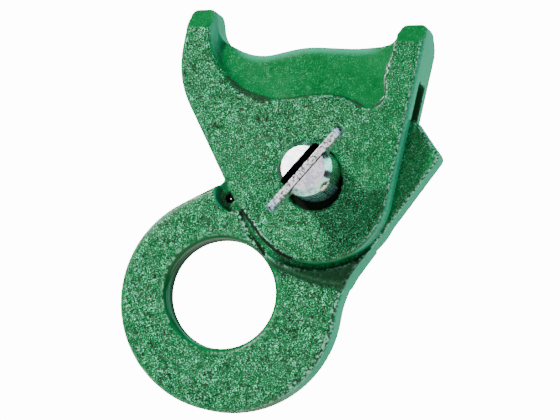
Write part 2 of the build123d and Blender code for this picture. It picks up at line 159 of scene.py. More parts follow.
class NodeSheet:
    """A material's node tree, with short calls for the nodes that the finishes share."""

    def __init__(self, name: str) -> None:
        """Starts an empty material.

        Args:
            name: The material's name.
        """
        self.material = bpy.data.materials.new(name)
        self.material.use_nodes = True
        self.tree = self.material.node_tree
        self.tree.nodes.clear()
        self.shader = self.add("ShaderNodeBsdfPrincipled")
        output = self.add("ShaderNodeOutputMaterial")
        self.tree.links.new(self.shader.outputs["BSDF"], output.inputs["Surface"])
        self.place = self.add("ShaderNodeTexCoord").outputs["Object"]

    def add(self, kind: str, **settings: object) -> bpy.types.Node:
        """Adds a node.

        Args:
            kind: Blender's name of the node.
            settings: Settings of the node itself.

        Returns:
            The new node.
        """
        node = self.tree.nodes.new(kind)
        for key, value in settings.items():
            setattr(node, key, value)
        return node

    def feed(self, entry: Socket, value: Socket | Colour | Sequence[float] | float) -> None:
        """Gives a node's input its value.

        Args:
            entry: The input.
            value: Another node's output, which is linked, or a plain value, which is set.
        """
        if isinstance(value, Socket):
            self.tree.links.new(value, entry)
        elif isinstance(value, Colour):
            entry.default_value = value.rgba
        else:
            entry.default_value = value

    def grain(self, grain: Grain) -> Socket:
        """Adds a noise over the object's own coordinates.

        Args:
            grain: The noise.

        Returns:
            Its value, from 0 to 1.
        """
        place = self.place
        if grain.stretch is not None:
            mapping = self.add("ShaderNodeMapping")
            self.feed(mapping.inputs["Scale"], grain.stretch)
            self.feed(mapping.inputs["Vector"], place)
            place = mapping.outputs["Vector"]
        node = self.add("ShaderNodeTexNoise")
        self.feed(node.inputs["Vector"], place)
        self.feed(node.inputs["Scale"], grain.cells)
        self.feed(node.inputs["Detail"], grain.detail)
        self.feed(node.inputs["Roughness"], grain.rough)
        return node.outputs["Fac"]

    def kept(self, name: str) -> Socket:
        """Reads a value kept on the mesh."""
        reader = self.add("ShaderNodeAttribute", attribute_name=name, attribute_type="GEOMETRY")
        return reader.outputs["Fac"]

    def ramp(self, value: Socket, stops: Sequence[tuple[float, Colour]]) -> Socket:
        """Turns a value into a colour.

        Args:
            value: The value.
            stops: Places along the value and the colour at each.

        Returns:
            The colour.
        """
        node = self.add("ShaderNodeValToRGB")
        elements = node.color_ramp.elements
        while len(elements) < len(stops):
            elements.new(0.5)
        for element, (place, colour) in zip(elements, stops):
            element.position = place
            element.color = colour.rgba
        self.feed(node.inputs["Fac"], value)
        return node.outputs["Color"]

    def mapped(self, value: Socket, span: Pair, to: Pair) -> Socket:
        """Maps a value's range to another one, held inside it.

        Args:
            value: The value.
            span: The range that is read.
            to: The range that it becomes.

        Returns:
            The mapped value.
        """
        node = self.add("ShaderNodeMapRange", clamp=True)
        for name, number in zip(("From Min", "From Max", "To Min", "To Max"), (*span, *to)):
            self.feed(node.inputs[name], number)
        self.feed(node.inputs["Value"], value)
        return node.outputs[0]

    def mixed(
        self, share: Socket, under: Socket, over: Socket | Colour, blend: Blend = Blend.COVER
    ) -> Socket:
        """Lays one colour over another.

        Args:
            share: How much of the upper one shows, from 0 to 1.
            under: The lower colour.
            over: The upper colour.
            blend: How it lies there.

        Returns:
            The mixed colour.
        """
        node = self.add("ShaderNodeMix", data_type="RGBA", blend_type=blend.value)
        entries = {entry.identifier: entry for entry in node.inputs}
        self.feed(entries["Factor_Float"], share)
        self.feed(entries["A_Color"], under)
        self.feed(entries["B_Color"], over)
        return next(result for result in node.outputs if result.identifier == "Result_Color")

    def between(self, share: float, first: Socket, second: Socket) -> Socket:
        """Mixes two values.

        Args:
            share: How much of the second one counts.
            first: The first value.
            second: The second value.

        Returns:
            The mixed value.
        """
        node = self.add("ShaderNodeMix", data_type="FLOAT")
        entries = {entry.identifier: entry for entry in node.inputs}
        self.feed(entries["Factor_Float"], share)
        self.feed(entries["A_Float"], first)
        self.feed(entries["B_Float"], second)
        return next(result for result in node.outputs if result.identifier == "Result_Float")

    def combined(self, kind: Sum, first: Socket, second: Socket) -> Socket:
        """Makes one value of two.

        Args:
            kind: How.
            first: The first value.
            second: The second value.

        Returns:
            The new value.
        """
        node = self.add("ShaderNodeMath", operation=kind.value)
        for entry, value in zip(node.inputs, (first, second)):
            self.feed(entry, value)
        return node.outputs[0]

    def relief(
        self, height: Socket, strength: Socket | float, depth: float, under: Socket | None = None
    ) -> Socket:
        """Adds a relief.

        Args:
            height: The relief's height.
            strength: How much of it shows.
            depth: Metres from its lowest to its highest point.
            under: A relief that this one lies on.

        Returns:
            The relief, for a shader's normal.
        """
        node = self.add("ShaderNodeBump")
        self.feed(node.inputs["Height"], height)
        self.feed(node.inputs["Strength"], strength)
        self.feed(node.inputs["Distance"], depth)
        if under is not None:
            self.feed(node.inputs["Normal"], under)
        return node.outputs["Normal"]

    def finished(self, inputs: dict[str, Socket | float]) -> bpy.types.Material:
        """Gives the shader its inputs.

        Args:
            inputs: The inputs by name.

        Returns:
            The material.
        """
        for name, value in inputs.items():
            self.feed(self.shader.inputs[name], value)
        return self.material


# ---- Finishes ----------------------------------------------------------------------------------
@dataclass(frozen=True)
class CastPaint:
    """Glossy paint that lies over the grain of a sand casting."""

    name: str = "green_paint_over_sand_casting"
    deep: Colour = Colour(0.0015, 0.120, 0.022)
    body: Colour = Colour(0.003, 0.175, 0.045)
    # Pale teal of the painted highlight on sides that face right and along the saddle's top edge.
    painted_highlight_tone: Colour = Colour(0.03, 0.45, 0.25)
    # Pale scuff tone on the edges, which is also their painted highlight.
    worn_and_highlit: Colour = Colour(0.40, 0.86, 0.66)
    # Near black for paint chips and for the painted shade in corners, slots, hollows and under things.
    chip_and_shade_black: Colour = Colour(0.0003, 0.004, 0.0015)
    patches: Grain = Grain(38.0, 3.0, 0.6)
    patch_span: Pair = (0.35, 0.62)
    speckle: Grain = Grain(1900.0, 2.0, 0.6)
    clumps: Grain = Grain(430.0, 1.0, 0.5)
    clumping: float = 0.15
    # Tones of the sand grain, from near-black pits, which stand for the shade in them, to pale dots, which
    # are painted glints of the gloss.
    grain_tones_and_glints: tuple[tuple[float, Colour], ...] = (
        (0.398, Colour(0.0002, 0.002, 0.001)),
        (0.448, Colour(0.0005, 0.040, 0.009)),
        (0.490, Colour(0.0013, 0.128, 0.028)),
        (0.546, Colour(0.003, 0.205, 0.055)),
        (0.596, Colour(0.030, 0.470, 0.190)),
        (0.646, Colour(0.230, 0.950, 0.610)),
    )
    painted_highlight_cover: float = 0.8
    scuffs: Grain = Grain(820.0, 2.0, 0.6)
    scuff_span: Pair = (0.49, 0.57)
    scuff_cover: float = 0.85
    chip_span: Pair = (0.49, 0.44)
    chip_cover: float = 0.97
    shade_cover: float = 0.98
    gloss_span: Pair = (0.3, 0.7)
    gloss: Pair = (0.15, 0.26)
    dull_span: Pair = (0.3, 0.9)
    lumps: Grain = Grain(430.0, 3.0, 0.6)
    lump_relief: Pair = (0.10, 0.75)
    lump_depth: float = 0.6 * MM
    grain_relief: Pair = (0.06, 0.8)
    grain_depth: float = 0.42 * MM
    refraction: float = 1.5
    shine: float = 0.24

    def make(self) -> bpy.types.Material:
        """Builds the material, which reads the values sand, painted highlight, edge wear with painted
        highlight, and painted shade on the mesh.

        Returns:
            The material.
        """
        sheet = NodeSheet(self.name)
        sand, painted_shade = sheet.kept("sand"), sheet.kept("painted_shade")
        patches = sheet.grain(self.patches)
        speckle = sheet.grain(self.speckle)
        gloss = sheet.mapped(patches, self.gloss_span, self.gloss)
        dull = sheet.mapped(painted_shade, self.dull_span, WHOLE)
        lump_share = sheet.mapped(sand, WHOLE, self.lump_relief)
        coarse = sheet.relief(sheet.grain(self.lumps), lump_share, self.lump_depth)
        grain_share = sheet.mapped(sand, WHOLE, self.grain_relief)
        fine = sheet.relief(speckle, grain_share, self.grain_depth, coarse)
        colour = self.rubbed(sheet, self.painted(sheet, sand, patches, speckle))
        # Painted shade: near black laid over the paint where the mesh marks shade.
        painted_dark = sheet.mapped(painted_shade, WHOLE, (0.0, self.shade_cover))
        return sheet.finished(
            {
                "Base Color": sheet.mixed(painted_dark, colour, self.chip_and_shade_black),
                "Roughness": sheet.combined(Sum.LARGER, gloss, dull),
                "Normal": fine,
                "IOR": self.refraction,
                "Specular IOR Level": self.shine,
            }
        )

    def painted(self, sheet: NodeSheet, sand: Socket, patches: Socket, speckle: Socket) -> Socket:
        """Lays the sand grain's tones, whose palest dots are painted glints, and the painted highlight on
        the sides over the paint's two greens.

        Args:
            sheet: The material's nodes.
            sand: How rough the casting is.
            patches: The slow noise of the two greens.
            speckle: The fine noise of the grain.

        Returns:
            The colour of unworn paint, with its painted glints and highlight.
        """
        ground = sheet.ramp(patches, tuple(zip(self.patch_span, (self.deep, self.body))))
        tone = sheet.between(self.clumping, speckle, sheet.grain(self.clumps))
        grained = sheet.mixed(sheet.mapped(sand, WHOLE, WHOLE), ground, sheet.ramp(tone, self.grain_tones_and_glints))
        # The painted highlight on the sides that face right and along the saddle's top edge.
        painted_highlight = sheet.mapped(sheet.kept("painted_highlight"), WHOLE, (0.0, self.painted_highlight_cover))
        return sheet.mixed(painted_highlight, grained, self.painted_highlight_tone)

    def rubbed(self, sheet: NodeSheet, painted: Socket) -> Socket:
        """Scuffs the edges pale, which also paints their highlight, and chips them dark.

        Args:
            sheet: The material's nodes.
            painted: The colour of unworn paint, with its painted glints and highlight.

        Returns:
            The colour with scuffs and chips.
        """
        wear_and_highlight = sheet.kept("wear_and_highlight")
        scuffs = sheet.grain(self.scuffs)
        colour = painted
        for span, cover, tone in (
            (self.scuff_span, self.scuff_cover, self.worn_and_highlit),
            (self.chip_span, self.chip_cover, self.chip_and_shade_black),
        ):
            share = sheet.combined(Sum.PRODUCT, wear_and_highlight, sheet.mapped(scuffs, span, (0.0, cover)))
            colour = sheet.mixed(share, colour, tone)
        return colour


@dataclass(frozen=True)
class PlatedSteel:
    """Plated, sheared or turned metal, mottled, with faint drawn lines."""

    name: str
    bright: Colour
    dull: Colour
    rough: Pair
    mottle_cells: float = 260.0
    mottle_detail: float = 4.0
    mottle_rough: float = 0.65
    spread: Pair = (0.36, 0.62)
    rough_span: Pair = (0.3, 0.7)
    lines: Grain = Grain(700.0, 3.0, 0.6, (1.0, 9.0, 1.0))
    line_relief: float = 0.5
    line_depth: float = 0.05 * MM
    pit_relief: float = 0.35
    pit_depth: float = 0.12 * MM
    marks: tuple[tuple[str, Colour], ...] = ()
    side_metal: float = 0.35
    tips: Colour | None = None
    tip_cover: float = 0.75
    tip_centre: tuple[float, float, float] = RIVET_MIDDLE
    tip_reach: Pair = (16.5 * MM, 20.5 * MM)

    def make(self) -> bpy.types.Material:
        """Builds the material, which reads the marks on the mesh's faces.

        Returns:
            The material.
        """
        sheet = NodeSheet(self.name)
        mottle = sheet.grain(Grain(self.mottle_cells, self.mottle_detail, self.mottle_rough))
        tone = sheet.ramp(mottle, tuple(zip(self.spread, (self.dull, self.bright))))
        if self.tips is not None:
            away = sheet.add("ShaderNodeVectorMath", operation="DISTANCE")
            for entry, value in zip(away.inputs, (sheet.place, self.tip_centre)):
                sheet.feed(entry, value)
            towards_tip = sheet.mapped(away.outputs["Value"], self.tip_reach, (0.0, self.tip_cover))
            tone = sheet.mixed(towards_tip, tone, self.tips, Blend.TINT)
        for name, colour in self.marks:
            tone = sheet.mixed(sheet.mapped(sheet.kept(name), WHOLE, WHOLE), tone, colour, Blend.TINT)
        metal: Socket | float = 1.0
        # The turned side is less metallic, so its green painted reflection shows as colour.
        if any(name == "side" for name, _ in self.marks):
            metal = sheet.mapped(sheet.kept("side"), WHOLE, (1.0, self.side_metal))
        drawn = sheet.relief(sheet.grain(self.lines), self.line_relief, self.line_depth)
        return sheet.finished(
            {
                "Base Color": tone,
                "Metallic": metal,
                "Roughness": sheet.mapped(mottle, self.rough_span, self.rough),
                "Normal": sheet.relief(mottle, self.pit_relief, self.pit_depth, drawn),
            }
        )


@dataclass(frozen=True)
class PlainFloor:
    """Pale matt studio floor that glows softly."""

    name: str = "pale_floor"
    faint: Grain = Grain(6.0, 2.0, 0.5)
    tone: Colour = Colour(0.86, 0.87, 0.87)
    lighter: Colour = Colour(0.90, 0.90, 0.90)
    span: Pair = (0.3, 0.7)
    glow: float = 9.0
    matt: float = 0.9

    def make(self) -> bpy.types.Material:
        """Builds the material.

        Returns:
            The material.
        """
        sheet = NodeSheet(self.name)
        tones = tuple(zip(self.span, (self.tone, self.lighter)))
        tone = sheet.ramp(sheet.grain(self.faint), tones)
        return sheet.finished(
            {
                "Base Color": tone,
                "Emission Color": tone,
                "Emission Strength": self.glow,
                "Roughness": self.matt,
            }
        )


@dataclass(frozen=True)
class LitWall:
    """White wall that glows evenly."""

    name: str = "lit_wall"
    glow: float = 14.0

    def make(self) -> bpy.types.Material:
        """Builds the material.

        Returns:
            The material.
        """
        material = bpy.data.materials.new(self.name)
        material.use_nodes = True
        tree = material.node_tree
        tree.nodes.clear()
        light = tree.nodes.new("ShaderNodeEmission")
        light.inputs["Strength"].default_value = self.glow
        output = tree.nodes.new("ShaderNodeOutputMaterial")
        tree.links.new(light.outputs["Emission"], output.inputs["Surface"])
        return material


# Colours laid on the pin by mark: its turned side green and its chamfer mint, as painted reflections of the
# green body, the prong under the bar darker, and the fork near black, as painted shade in the slot.
PIN_MARKS = (
    ("side", Colour(0.17, 0.48, 0.40)),
    ("chamfer", Colour(0.56, 1.0, 0.86)),
    ("prong", Colour(0.22, 0.21, 0.23)),
    ("fork", Colour(0.002, 0.002, 0.003)),
)
BRIGHT_ZINC = PlatedSteel(
    name="bright_zinc",
    bright=Colour(0.97, 0.97, 0.95),
    dull=Colour(0.46, 0.46, 0.56),
    rough=(0.08, 0.20),
    mottle_cells=420.0,
    spread=(0.42, 0.54),
    marks=PIN_MARKS,
)
GALVANISED_BAR = PlatedSteel(
    name="galvanised_bar",
    bright=Colour(0.94, 0.90, 0.95),
    dull=Colour(0.07, 0.09, 0.10),
    rough=(0.20, 0.40),
    mottle_cells=900.0,
    spread=(0.43, 0.53),
    tips=Colour(0.40, 0.70, 0.86),
)
# Pale yellow, so that the rivet's domed end stands in for a glint on the pin's side: a painted highlight.
# Its middle takes the fork's painted shade.
RIVET_STEEL = PlatedSteel(
    name="rivet_steel",
    bright=Colour(0.90, 0.86, 0.66),
    dull=Colour(0.60, 0.60, 0.46),
    rough=(0.2, 0.35),
    mottle_cells=700.0,
    marks=PIN_MARKS[-1:],
)
SPRING_WIRE = PlatedSteel(
    name="spring_wire",
    bright=Colour(0.035, 0.042, 0.040),
    dull=Colour(0.015, 0.018, 0.018),
    rough=(0.4, 0.6),
)
BEARING_BRONZE = PlatedSteel(
    name="bearing_bronze",
    bright=Colour(0.72, 0.52, 0.27),
    dull=Colour(0.50, 0.33, 0.15),
    rough=(0.22, 0.38),
)


# ---- Mesh work ---------------------------------------------------------------------------------
# Shares of a smoothing pass inwards and of the one outwards that gives back what the first shrinks.
SMOOTHING = (0.5, -0.52)
# How far a point moves to its neighbours' mean in one relaxing pass, and the least share that counts.
RELAXING, LEAST_SHARE = 0.6, 0.01
# The noise: strength and fineness of each finer layer, and where a seed moves it.
NOISE_STRENGTH, NOISE_FINENESS = 0.6, 2.1
SEED_STEPS = (1.0, 1.7, 0.6)
WELD_REACH = 1e-6


@dataclass
class PointField:
    """A mesh's points, normals and edges as arrays, for work on all of them at once."""

    mesh: bpy.types.Mesh

    def __post_init__(self) -> None:
        """Reads the mesh."""
        self.count = len(self.mesh.vertices)
        flat = np.empty(self.count * 3)
        self.mesh.vertices.foreach_get("co", flat)
        self.points = flat.reshape(-1, 3)
        pairs = np.empty(len(self.mesh.edges) * 2, dtype=np.int64)
        self.mesh.edges.foreach_get("vertices", pairs)
        self.edges = pairs.reshape(-1, 2)
        self.degree = np.maximum(np.bincount(pairs, minlength=self.count), 1)

    def normals(self) -> np.ndarray:
        """The normals of the points as they are now.

        Returns:
            One unit vector for each point.
        """
        self.write()
        flat = np.empty(self.count * 3)
        self.mesh.vertex_normals.foreach_get("vector", flat)
        return flat.reshape(-1, 3)

    def sums(self, rows: np.ndarray, pairs: np.ndarray) -> np.ndarray:
        """Adds up what each point's neighbours have.

        Args:
            rows: One row for each point.
            pairs: The edges over which points are neighbours.

        Returns:
            The sums, one row for each point.
        """
        total = np.zeros_like(rows)
        for own, other in ((0, 1), (1, 0)):
            for column in range(rows.shape[1]):
                given = rows[pairs[:, other], column]
                total[:, column] += np.bincount(pairs[:, own], given, self.count)
        return total

    def mean_of_neighbours(self, values: np.ndarray) -> np.ndarray:
        """Averages a value over each point's neighbours.

        Args:
            values: One row for each point.

        Returns:
            The averages, one row for each point.
        """
        total = self.sums(values.reshape(self.count, -1), self.edges)
        return (total / self.degree[:, None]).reshape(values.shape)

    def smooth(self, passes: int) -> None:
        """Evens the surface without shrinking it.

        Args:
            passes: Pairs of a pass in and a pass out.
        """
        for _ in range(passes):
            for share in SMOOTHING:
                self.points += share * (self.mean_of_neighbours(self.points) - self.points)

    def relax(self, share: np.ndarray, passes: int) -> None:
        """Evens a part of the surface, where it may shrink.

        Args:
            share: How much each point gives way, from 0 to 1.
            passes: How often.
        """
        chosen = share > LEAST_SHARE
        near = np.flatnonzero(chosen)
        pairs = self.edges[chosen[self.edges[:, 0]] | chosen[self.edges[:, 1]]]
        weight = (RELAXING * share[near])[:, None]
        for _ in range(passes):
            mean = self.sums(self.points, pairs)[near] / self.degree[near][:, None]
            self.points[near] += weight * (mean - self.points[near])

    def bulge(self, passes: int) -> np.ndarray:
        """How far each point stands proud of its surroundings, along its normal, in metres.

        Args:
            passes: How many rings of neighbours the surroundings take in.

        Returns:
            One value for each point, above zero on outer edges and below it in corners.
        """
        around = self.points.copy()
        for _ in range(passes):
            around = self.mean_of_neighbours(around)
        return ((self.points - around) * self.normals()).sum(axis=1)

    def spread(self, values: np.ndarray, passes: int = 1) -> np.ndarray:
        """Evens a value over the surface.

        Args:
            values: One value for each point.
            passes: Rings of neighbours.

        Returns:
            The evened values.
        """
        for _ in range(passes):
            values = 0.5 * (values + self.mean_of_neighbours(values))
        return values

    def write(self) -> None:
        """Puts the points back into the mesh."""
        self.mesh.vertices.foreach_set("co", self.points.ravel())
        self.mesh.update()

    def keep(self, name: str, values: np.ndarray) -> None:
        """Keeps a value on the mesh's points, where the material reads it.

        Args:
            name: The value's name.
            values: One value for each point.
        """
        layer = self.mesh.attributes.new(name, "FLOAT", "POINT")
        layer.data.foreach_set("value", np.clip(values, 0.0, 1.0).astype(np.float32))


def noise_at(points: np.ndarray, cell: float, octaves: int, seed: float = 0.0) -> np.ndarray:
    """Reads a smooth noise.

    Args:
        points: Places in metres.
        cell: Size of the noise's largest cells, in metres.
        octaves: How many finer layers lie on them.
        seed: Moves the noise, so that two readings differ.

    Returns:
        One value from about -1 to 1 for each place.
    """
    offset = Vector([seed * step for step in SEED_STEPS])
    values = [
        noise.fractal(
            Vector(row) + offset, NOISE_STRENGTH, NOISE_FINENESS, octaves, noise_basis="PERLIN_NEW"
        )
        for row in points / cell
    ]
    return np.array(values)


def distance(points: np.ndarray, place: Pair) -> np.ndarray:
    """How far each point lies from a place in the front view."""
    return np.hypot(points[:, 0] - place[0], points[:, 2] - place[1])


def from_line(places: np.ndarray, corners: Line) -> np.ndarray:
    """How far each place lies from a line with corners.

    Args:
        places: Places across and up.
        corners: The line's corners, in millimetres.

    Returns:
        One distance for each place.
    """
    away = np.full(len(places), 1.0)
    for start, end in zip(corners, corners[1:]):
        first, span = np.array(start) * MM, (np.array(end) - np.array(start)) * MM
        share = np.clip(((places - first) @ span) / (span @ span), 0, 1)
        away = np.minimum(away, np.linalg.norm(places - first - share[:, None] * span, axis=1))
    return away


def ridge(values: np.ndarray, middle: float, width: float) -> np.ndarray:
    """A soft line: 1 where a value is the middle, falling to 0 beyond its width."""
    return np.exp(-(((values - middle) / width) ** 2))


def solid_copy(node: bpy.types.Object, name: str) -> bpy.types.Object:
    """Makes a free copy of a frame node's solid, welded into one closed mesh.

    Args:
        node: The frame's node.
        name: The copy's name.

    Returns:
        The copy, linked to the scene.
    """
    mesh = node.data.copy()
    mesh.name = name
    mesh.materials.clear()
    copy = bpy.data.objects.new(name, mesh)
    copy.matrix_world = node.matrix_world
    bpy.context.scene.collection.objects.link(copy)
    weld = copy.modifiers.new("weld", "WELD")
    weld.merge_threshold = WELD_REACH
    return copy


def apply_modifiers(piece: bpy.types.Object) -> None:
    """Makes a piece's modifiers part of its mesh.

    Args:
        piece: The piece.
    """
    graph = bpy.context.evaluated_depsgraph_get()
    graph.update()
    mesh = bpy.data.meshes.new_from_object(piece.evaluated_get(graph))
    piece.modifiers.clear()
    piece.data = mesh


def shade_smooth(mesh: bpy.types.Mesh) -> None:
    """Shades every face smooth."""
    mesh.polygons.foreach_set("use_smooth", np.ones(len(mesh.polygons), dtype=bool))


def mark_faces(mesh: bpy.types.Mesh, name: str, values: Sequence[float]) -> None:
    """Keeps one value for each face, where the material reads it."""
    mesh.attributes.new(name, "FLOAT", "FACE").data.foreach_set("value", values)


def object_from(
    name: str, points: Sequence[Sequence[float]], faces: Sequence[Sequence[int]]
) -> bpy.types.Object:
    """Makes an object of points and faces.

    Args:
        name: Its name.
        points: Its points, in metres.
        faces: Its faces, as rows of point numbers.

    Returns:
        The object, linked to the scene.
    """
    mesh = bpy.data.meshes.new(name)
    mesh.from_pydata([tuple(point) for point in points], [], [tuple(face) for face in faces])
    mesh.update()
    piece = bpy.data.objects.new(name, mesh)
    bpy.context.scene.collection.objects.link(piece)
    return piece


def tube_faces(rings: int, sides: int) -> list[tuple[int, ...]]:
    """The faces of a closed tube whose points stand in rings.

    Args:
        rings: How many rings.
        sides: Points of one ring.

    Returns:
        The faces of its wall and its two ends, as rows of point numbers.
    """
    faces = []
    for ring in range(rings - 1):
        first, second = ring * sides, (ring + 1) * sides
        for side in range(sides):
            after = (side + 1) % sides
            faces.append((first + side, first + after, second + after, second + side))
    faces.append(tuple(reversed(range(sides))))
    faces.append(tuple(range((rings - 1) * sides, rings * sides)))
    return faces


def hand_over(piece: bpy.types.Object, finish: bpy.types.Material, node: str) -> None:
    """Gives a piece its finish and puts it in place of its node.

    Args:
        piece: The piece, which rides its body where it has been attached to one.
        finish: Its material.
        node: The frame's node that it stands for.
    """
    piece.data.materials.append(finish)
    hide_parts(node)
    log.info("%s: %d points", piece.name, len(piece.data.vertices))


# ---- Castings ----------------------------------------------------------------------------------
@dataclass
class Surface:
    """A casting's points in the front view, measured from the pin's axis, and how they face.

    Its wear says where the paint is rubbed and where a pale highlight is painted on its edges, and its dark
    where shade is painted on, from 0 to 1.
    """

    points: np.ndarray
    normals: np.ndarray
    wear_and_highlight: np.ndarray | None = None
    painted_dark: np.ndarray | None = None
    turning: Pair = (0.90, 0.06)
    turned_right: Band = Band(0.20, 0.25)

    def __post_init__(self) -> None:
        """Measures the points."""
        self.across = self.points[:, 0] - PIN_AXIS[0]
        self.up = self.points[:, 2] - PIN_AXIS[1]
        self.from_pin = np.hypot(self.across, self.up)
        self.depth = np.abs(self.points[:, 1])
        self.facing = np.abs(self.normals[:, 1])

    def front_line(self) -> np.ndarray:
        """Where a flat face starts to turn into its right-hand side, from 0 to 1."""
        return ridge(self.facing, *self.turning) * self.turned_right.of(self.normals[:, 0])

    def rub(self, amount: np.ndarray) -> None:
        """Raises each point's wear and painted edge highlight at least this much."""
        self.wear_and_highlight = np.maximum(self.wear_and_highlight, amount)

    def darken(self, amount: np.ndarray) -> None:
        """Paints shade on each point at least this much."""
        self.painted_dark = np.maximum(self.painted_dark, amount)


@dataclass
class Casting:
    """A sand casting: the solid's own form, with soft edges and a grain under its paint."""

    paint: bpy.types.Material
    node: str = ""
    body: str = ""
    cell: float = 0.62 * MM
    smooth_passes: int = 3
    surroundings: int = 5
    sand_passes: int = 2
    # The bulge's bands: proud edges take edge wear and painted highlight, sunk corners take painted shade.
    proud: Band = Band(0.088 * MM, 0.308 * MM)
    sunk: Band = Band(-0.075 * MM, -0.375 * MM)
    grain_depth: float = 0.26 * MM
    grain_cell: float = 1.5 * MM
    grain_octaves: int = 3
    grain_gain: float = 0.85
    lump_depth: float = 0.16 * MM
    lump_cell: float = 5.0 * MM
    lump_octaves: int = 2
    lump_seed: float = 7.0
    # Where the painted highlight lies: on normals turned right, off the flat faces.
    highlight_right: Band = Band(0.42, 0.62)
    highlight_side: Band = Band(0.86, 0.74)

    def sand(self, surface: Surface) -> np.ndarray:
        """How rough the casting is.

        Args:
            surface: The casting's surface.

        Returns:
            One value from 0 to 1 for each point.
        """
        return np.ones(len(surface.points))

    def painted_highlight(self, surface: Surface) -> np.ndarray:
        """The painted highlight: pale on the sides that face right.

        Args:
            surface: The casting's surface.

        Returns:
            One value from 0 to 1 for each point.
        """
        return self.highlight_right.of(surface.normals[:, 0]) * self.highlight_side.of(surface.facing)

    def soften(self, skin: PointField) -> None:
        """Rounds the places where the pattern of the casting has soft hollows.

        Args:
            skin: The casting's skin.
        """

    def marks(self, surface: Surface) -> None:
        """Rubs and paints shade on what the casting's own form calls for, beyond its edges and corners.

        Args:
            surface: The casting's surface, whose wear and dark are changed.
        """

    def skinned(self, piece: bpy.types.Object) -> PointField:
        """Turns a solid into an even, softened skin.

        Args:
            piece: The solid's copy.

        Returns:
            The skin's points.
        """
        skin = piece.modifiers.new("skin", "REMESH")
        skin.mode = "VOXEL"
        skin.voxel_size = self.cell
        skin.use_smooth_shade = True
        apply_modifiers(piece)
        points = PointField(piece.data)
        points.smooth(self.smooth_passes)
        self.soften(points)
        return points

    def press_grain(self, skin: PointField, normals: np.ndarray, sand: np.ndarray) -> None:
        """Presses the sand's grain and its lumps inwards, and holds the skin in the solid's box.

        Args:
            skin: The casting's skin, which is moved.
            normals: The points' normals.
            sand: How rough each point is, from 0 to 1.
        """
        grain = noise_at(skin.points, self.grain_cell, self.grain_octaves)
        lumps = noise_at(skin.points, self.lump_cell, self.lump_octaves, self.lump_seed)
        pits = self.grain_depth * np.clip(0.5 - self.grain_gain * grain, 0, 1)
        dents = self.lump_depth * np.clip(0.5 + lumps, 0, 1)
        skin.points -= normals * (sand * (pits + dents))[:, None]
        skin.points = np.clip(skin.points, *(np.array(corner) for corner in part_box(self.node)))
        skin.write()

    def build(self, frame: dict) -> bpy.types.Object:
        """Builds the casting's skin, dresses it and puts it in place of its node.


        Returns:
            The piece.
        """
        piece = solid_copy(frame["nodes"][self.node], f"{self.node}_casting")
        skin = self.skinned(piece)
        normals = skin.normals()
        surface = Surface(skin.points, normals)
        sand = skin.spread(self.sand(surface), self.sand_passes)
        bulge = skin.bulge(self.surroundings)
        # Edge wear and painted highlight on proud edges, painted shade in sunk corners.
        surface.wear_and_highlight, surface.painted_dark = (skin.spread(band.of(bulge)) for band in (self.proud, self.sunk))
        self.marks(surface)
        self.press_grain(skin, normals, sand)
        skin.keep("sand", sand)
        # Kept for the material: edge wear with painted highlight, painted shade, and the painted highlight
        # on right-facing sides.
        skin.keep("wear_and_highlight", surface.wear_and_highlight)
        skin.keep("painted_shade", surface.painted_dark)
        skin.keep("painted_highlight", skin.spread(self.painted_highlight(Surface(skin.points, normals))))
        shade_smooth(piece.data)
        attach(piece, self.body)
        hand_over(piece, self.paint, self.node)
        return piece


